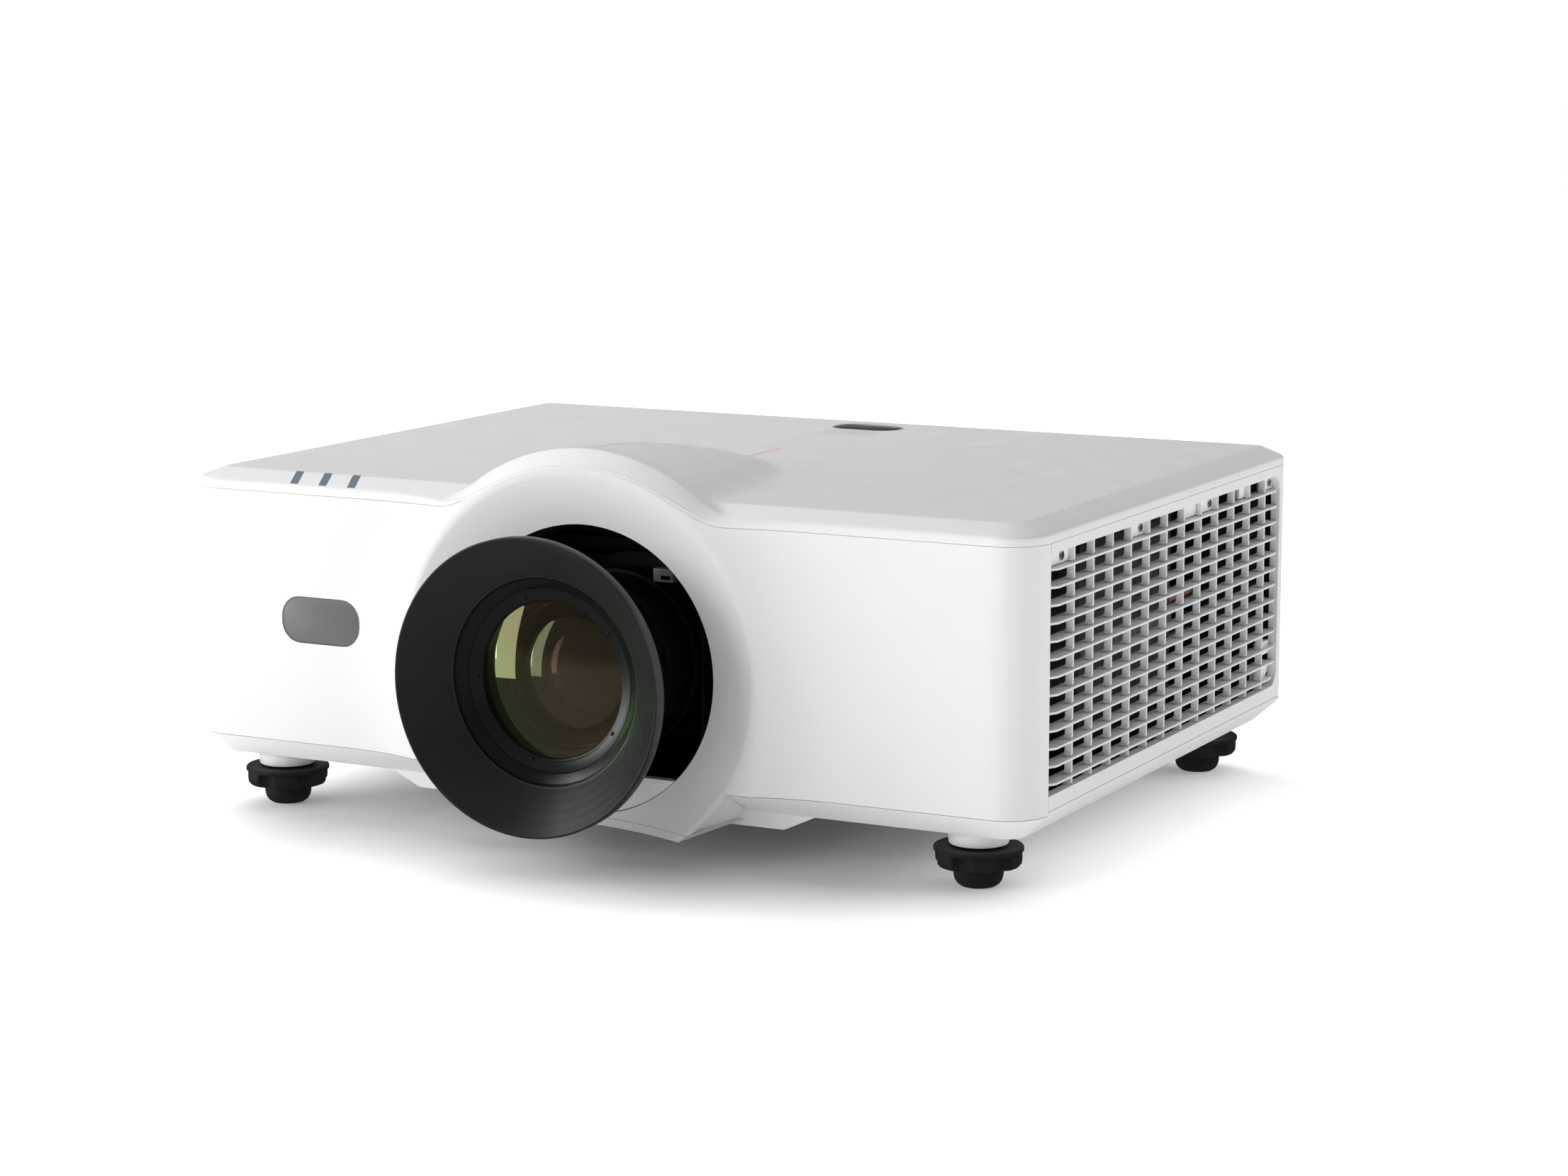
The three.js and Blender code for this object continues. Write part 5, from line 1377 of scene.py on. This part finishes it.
# ---------------------------------------------------------------- CAD nodes kept as they are
KEPT = {
    "air_filter": filter_paper, "focus_ring": barrel_black, "zoom_ring": barrel_black, "focus_pinion": steel,
    "zoom_pinion": steel, "focus_motor": aluminium, "zoom_motor": aluminium, "lens_mount_plate": black_metal,
    "shift_carriage": black_metal, "light_engine": black_metal, "phosphor_wheel": aluminium,
    "laser_module": black_metal, "fan_frame": black, "fan_rotor": black, "main_board": board,
    "power_supply": steel, "connector_plate": black_metal, "hdmi_port_1": steel, "hdmi_port_2": steel,
    "lan_port": steel, "serial_port": steel, "ac_inlet": black, "power_switch": black,
}


def dress_kept_nodes():
    """Gives each CAD node that no piece replaces its Blender material."""
    for name, material in KEPT.items():
        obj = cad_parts[name]
        if not obj.material_slots:
            obj.data.materials.append(material)
        for slot in obj.material_slots:
            slot.material = material


# ---------------------------------------------------------------- studio, in metres
CAMERA_PLACE = (0.89354, -1.66416, 0.42584)
CAMERA_YAW, CAMERA_PITCH = 27.2273, 9.3812
CAMERA_LENS = 82.534
ROOM_LIGHT = 0.24               # strength of the room above the horizon
BENCH_LIGHT = 0.46              # strength of the room below the horizon, which lights the undersides
MIRRORED_ROOM = 0.26            # share of the room's strength that reflections show
BACKDROP = 1.05                 # strength of the white that the camera sees
FLOOR_REACH = 12.0
GLOW_REACH, GLOW = 0.2, 0.85    # the floor brightens to white over this distance from the object
GLOW_START = (HALF * MM - 0.11, REAR * MM - 0.06, 0)

# Name, place, target, width, height, power and whether it shows in reflections.
SOFTBOXES = (
    ("key", (-1.64, -1.02, 0.62), (0, -0.1, 0.12), 1.15, 1.95, 10, True),
    ("strip", (-1.5, -0.98, 0.55), (0, -0.15, 0.1), 0.3, 1.3, 4, True),
    ("front", (-1.7, -2.85, 1.05), (0, 0, 0.1), 1.6, 1.2, 41, False),
    ("upper_left", (-1.0, 0.5, 2.3), (0, 0, 0.1), 1.8, 1.8, 43, False),
    ("right_fill", (2.3, 1.5, 0.6), (0, 0, 0.1), 1.4, 0.9, 18, False),
)


def camera():
    data = bpy.data.cameras.new("camera")
    data.lens, data.sensor_width = CAMERA_LENS, 36
    data.clip_start, data.clip_end = 0.05, 100
    obj = bpy.data.objects.new("camera", data)
    bpy.context.scene.collection.objects.link(obj)
    obj.location = CAMERA_PLACE
    obj.rotation_euler = (math.radians(90 - CAMERA_PITCH), 0, math.radians(CAMERA_YAW))
    bpy.context.scene.camera = obj
    bpy.context.scene.view_settings.view_transform = "Standard"


def room():
    """White backdrop for the camera, a dimmer room for everything else, and dimmer still in reflections."""
    world = bpy.data.worlds.new("studio")
    bpy.context.scene.world = world
    world.use_nodes = True
    nodes, links = world.node_tree.nodes, world.node_tree.links
    lit = nodes["Background"]
    backdrop = nodes.new("ShaderNodeBackground")
    backdrop.inputs["Strength"].default_value = BACKDROP
    seen = nodes.new("ShaderNodeLightPath")
    either = nodes.new("ShaderNodeMixShader")
    for background in (lit, backdrop):
        background.inputs["Color"].default_value = (1, 1, 1, 1)
    direction = nodes.new("ShaderNodeTexCoord")
    split = nodes.new("ShaderNodeSeparateXYZ")
    level = nodes.new("ShaderNodeMapRange")
    set_range(level, -0.06, 0.02, BENCH_LIGHT, ROOM_LIGHT)
    links.new(direction.outputs["Generated"], split.inputs[0])
    links.new(split.outputs["Z"], level.inputs["Value"])
    dimmed = nodes.new("ShaderNodeMapRange")
    set_range(dimmed, 0, 1, 1, MIRRORED_ROOM)
    links.new(seen.outputs["Is Glossy Ray"], dimmed.inputs["Value"])
    strength = nodes.new("ShaderNodeMath")
    strength.operation = "MULTIPLY"
    links.new(level.outputs["Result"], strength.inputs[0])
    links.new(dimmed.outputs["Result"], strength.inputs[1])
    links.new(strength.outputs[0], lit.inputs["Strength"])
    links.new(seen.outputs["Is Camera Ray"], either.inputs["Fac"])
    links.new(lit.outputs[0], either.inputs[1])
    links.new(backdrop.outputs[0], either.inputs[2])
    links.new(either.outputs[0], nodes["World Output"].inputs["Surface"])


def softboxes():
    """Area lights, each aimed at its target."""
    for name, place, target, width, height, power, mirrored in SOFTBOXES:
        data = bpy.data.lights.new(name, "AREA")
        data.shape, data.size, data.size_y, data.energy = "RECTANGLE", width, height, power
        obj = bpy.data.objects.new(name, data)
        bpy.context.scene.collection.objects.link(obj)
        obj.visible_glossy = mirrored
        obj.location = place
        obj.rotation_euler = (Vector(target) - Vector(place)).to_track_quat("-Z", "Y").to_euler()


def floor_material():
    """White floor with a glow that starts round the object, so that only its shadow stays grey."""
    m = Nodes("floor")
    m.link(m.mix(m.noise(2, 2), (0.94, 0.94, 0.94), (0.96, 0.96, 0.96)), m.shader.inputs["Base Color"])
    m.link(m.span(m.noise(5, 2), 0.38, 0.46), m.shader.inputs["Roughness"])
    inward = m.add("ShaderNodeVectorMath", operation="ABSOLUTE")
    beyond = m.add("ShaderNodeVectorMath", operation="SUBTRACT")
    beyond.inputs[1].default_value = GLOW_START
    outside = m.add("ShaderNodeVectorMath", operation="MAXIMUM")
    outside.inputs[1].default_value = (0, 0, 0)
    distance = m.add("ShaderNodeVectorMath", operation="LENGTH")
    m.link(m.place, inward.inputs[0])
    m.link(inward.outputs[0], beyond.inputs[0])
    m.link(beyond.outputs[0], outside.inputs[0])
    m.link(outside.outputs[0], distance.inputs[0])
    glow = m.add("ShaderNodeMapRange", interpolation_type="SMOOTHSTEP")
    m.link(distance.outputs["Value"], glow.inputs["Value"])
    set_range(glow, 0, GLOW_REACH, 0, GLOW)
    m.link(glow.outputs["Result"], m.shader.inputs["Emission Strength"])
    m.set(Emission_Color=(1, 1, 1, 1), Specular_IOR_Level=0.3)
    return m.material


def floor():
    mesh = bpy.data.meshes.new("floor")
    r = FLOOR_REACH
    mesh.from_pydata([(-r, -r, 0), (r, -r, 0), (r, r, 0), (-r, r, 0)], [], [(0, 1, 2, 3)])
    mesh.materials.append(floor_material())
    obj = bpy.data.objects.new("floor", mesh)
    bpy.context.scene.collection.objects.link(obj)
    obj.visible_glossy = False


top_cover()
front_panel()
base_tray()
right_side()
left_side()
filter_door()
rear_wall()
grille()
windows()
seams()
feet()
lens_hood()
retaining_ring()
lens_cells()
zoom_barrel()
lens_elements()
lens_insides()
lens_bay()
lens_bay_collar()
lens_release()
cooling()
keypad()
dress_kept_nodes()
camera()
room()
softboxes()
floor()
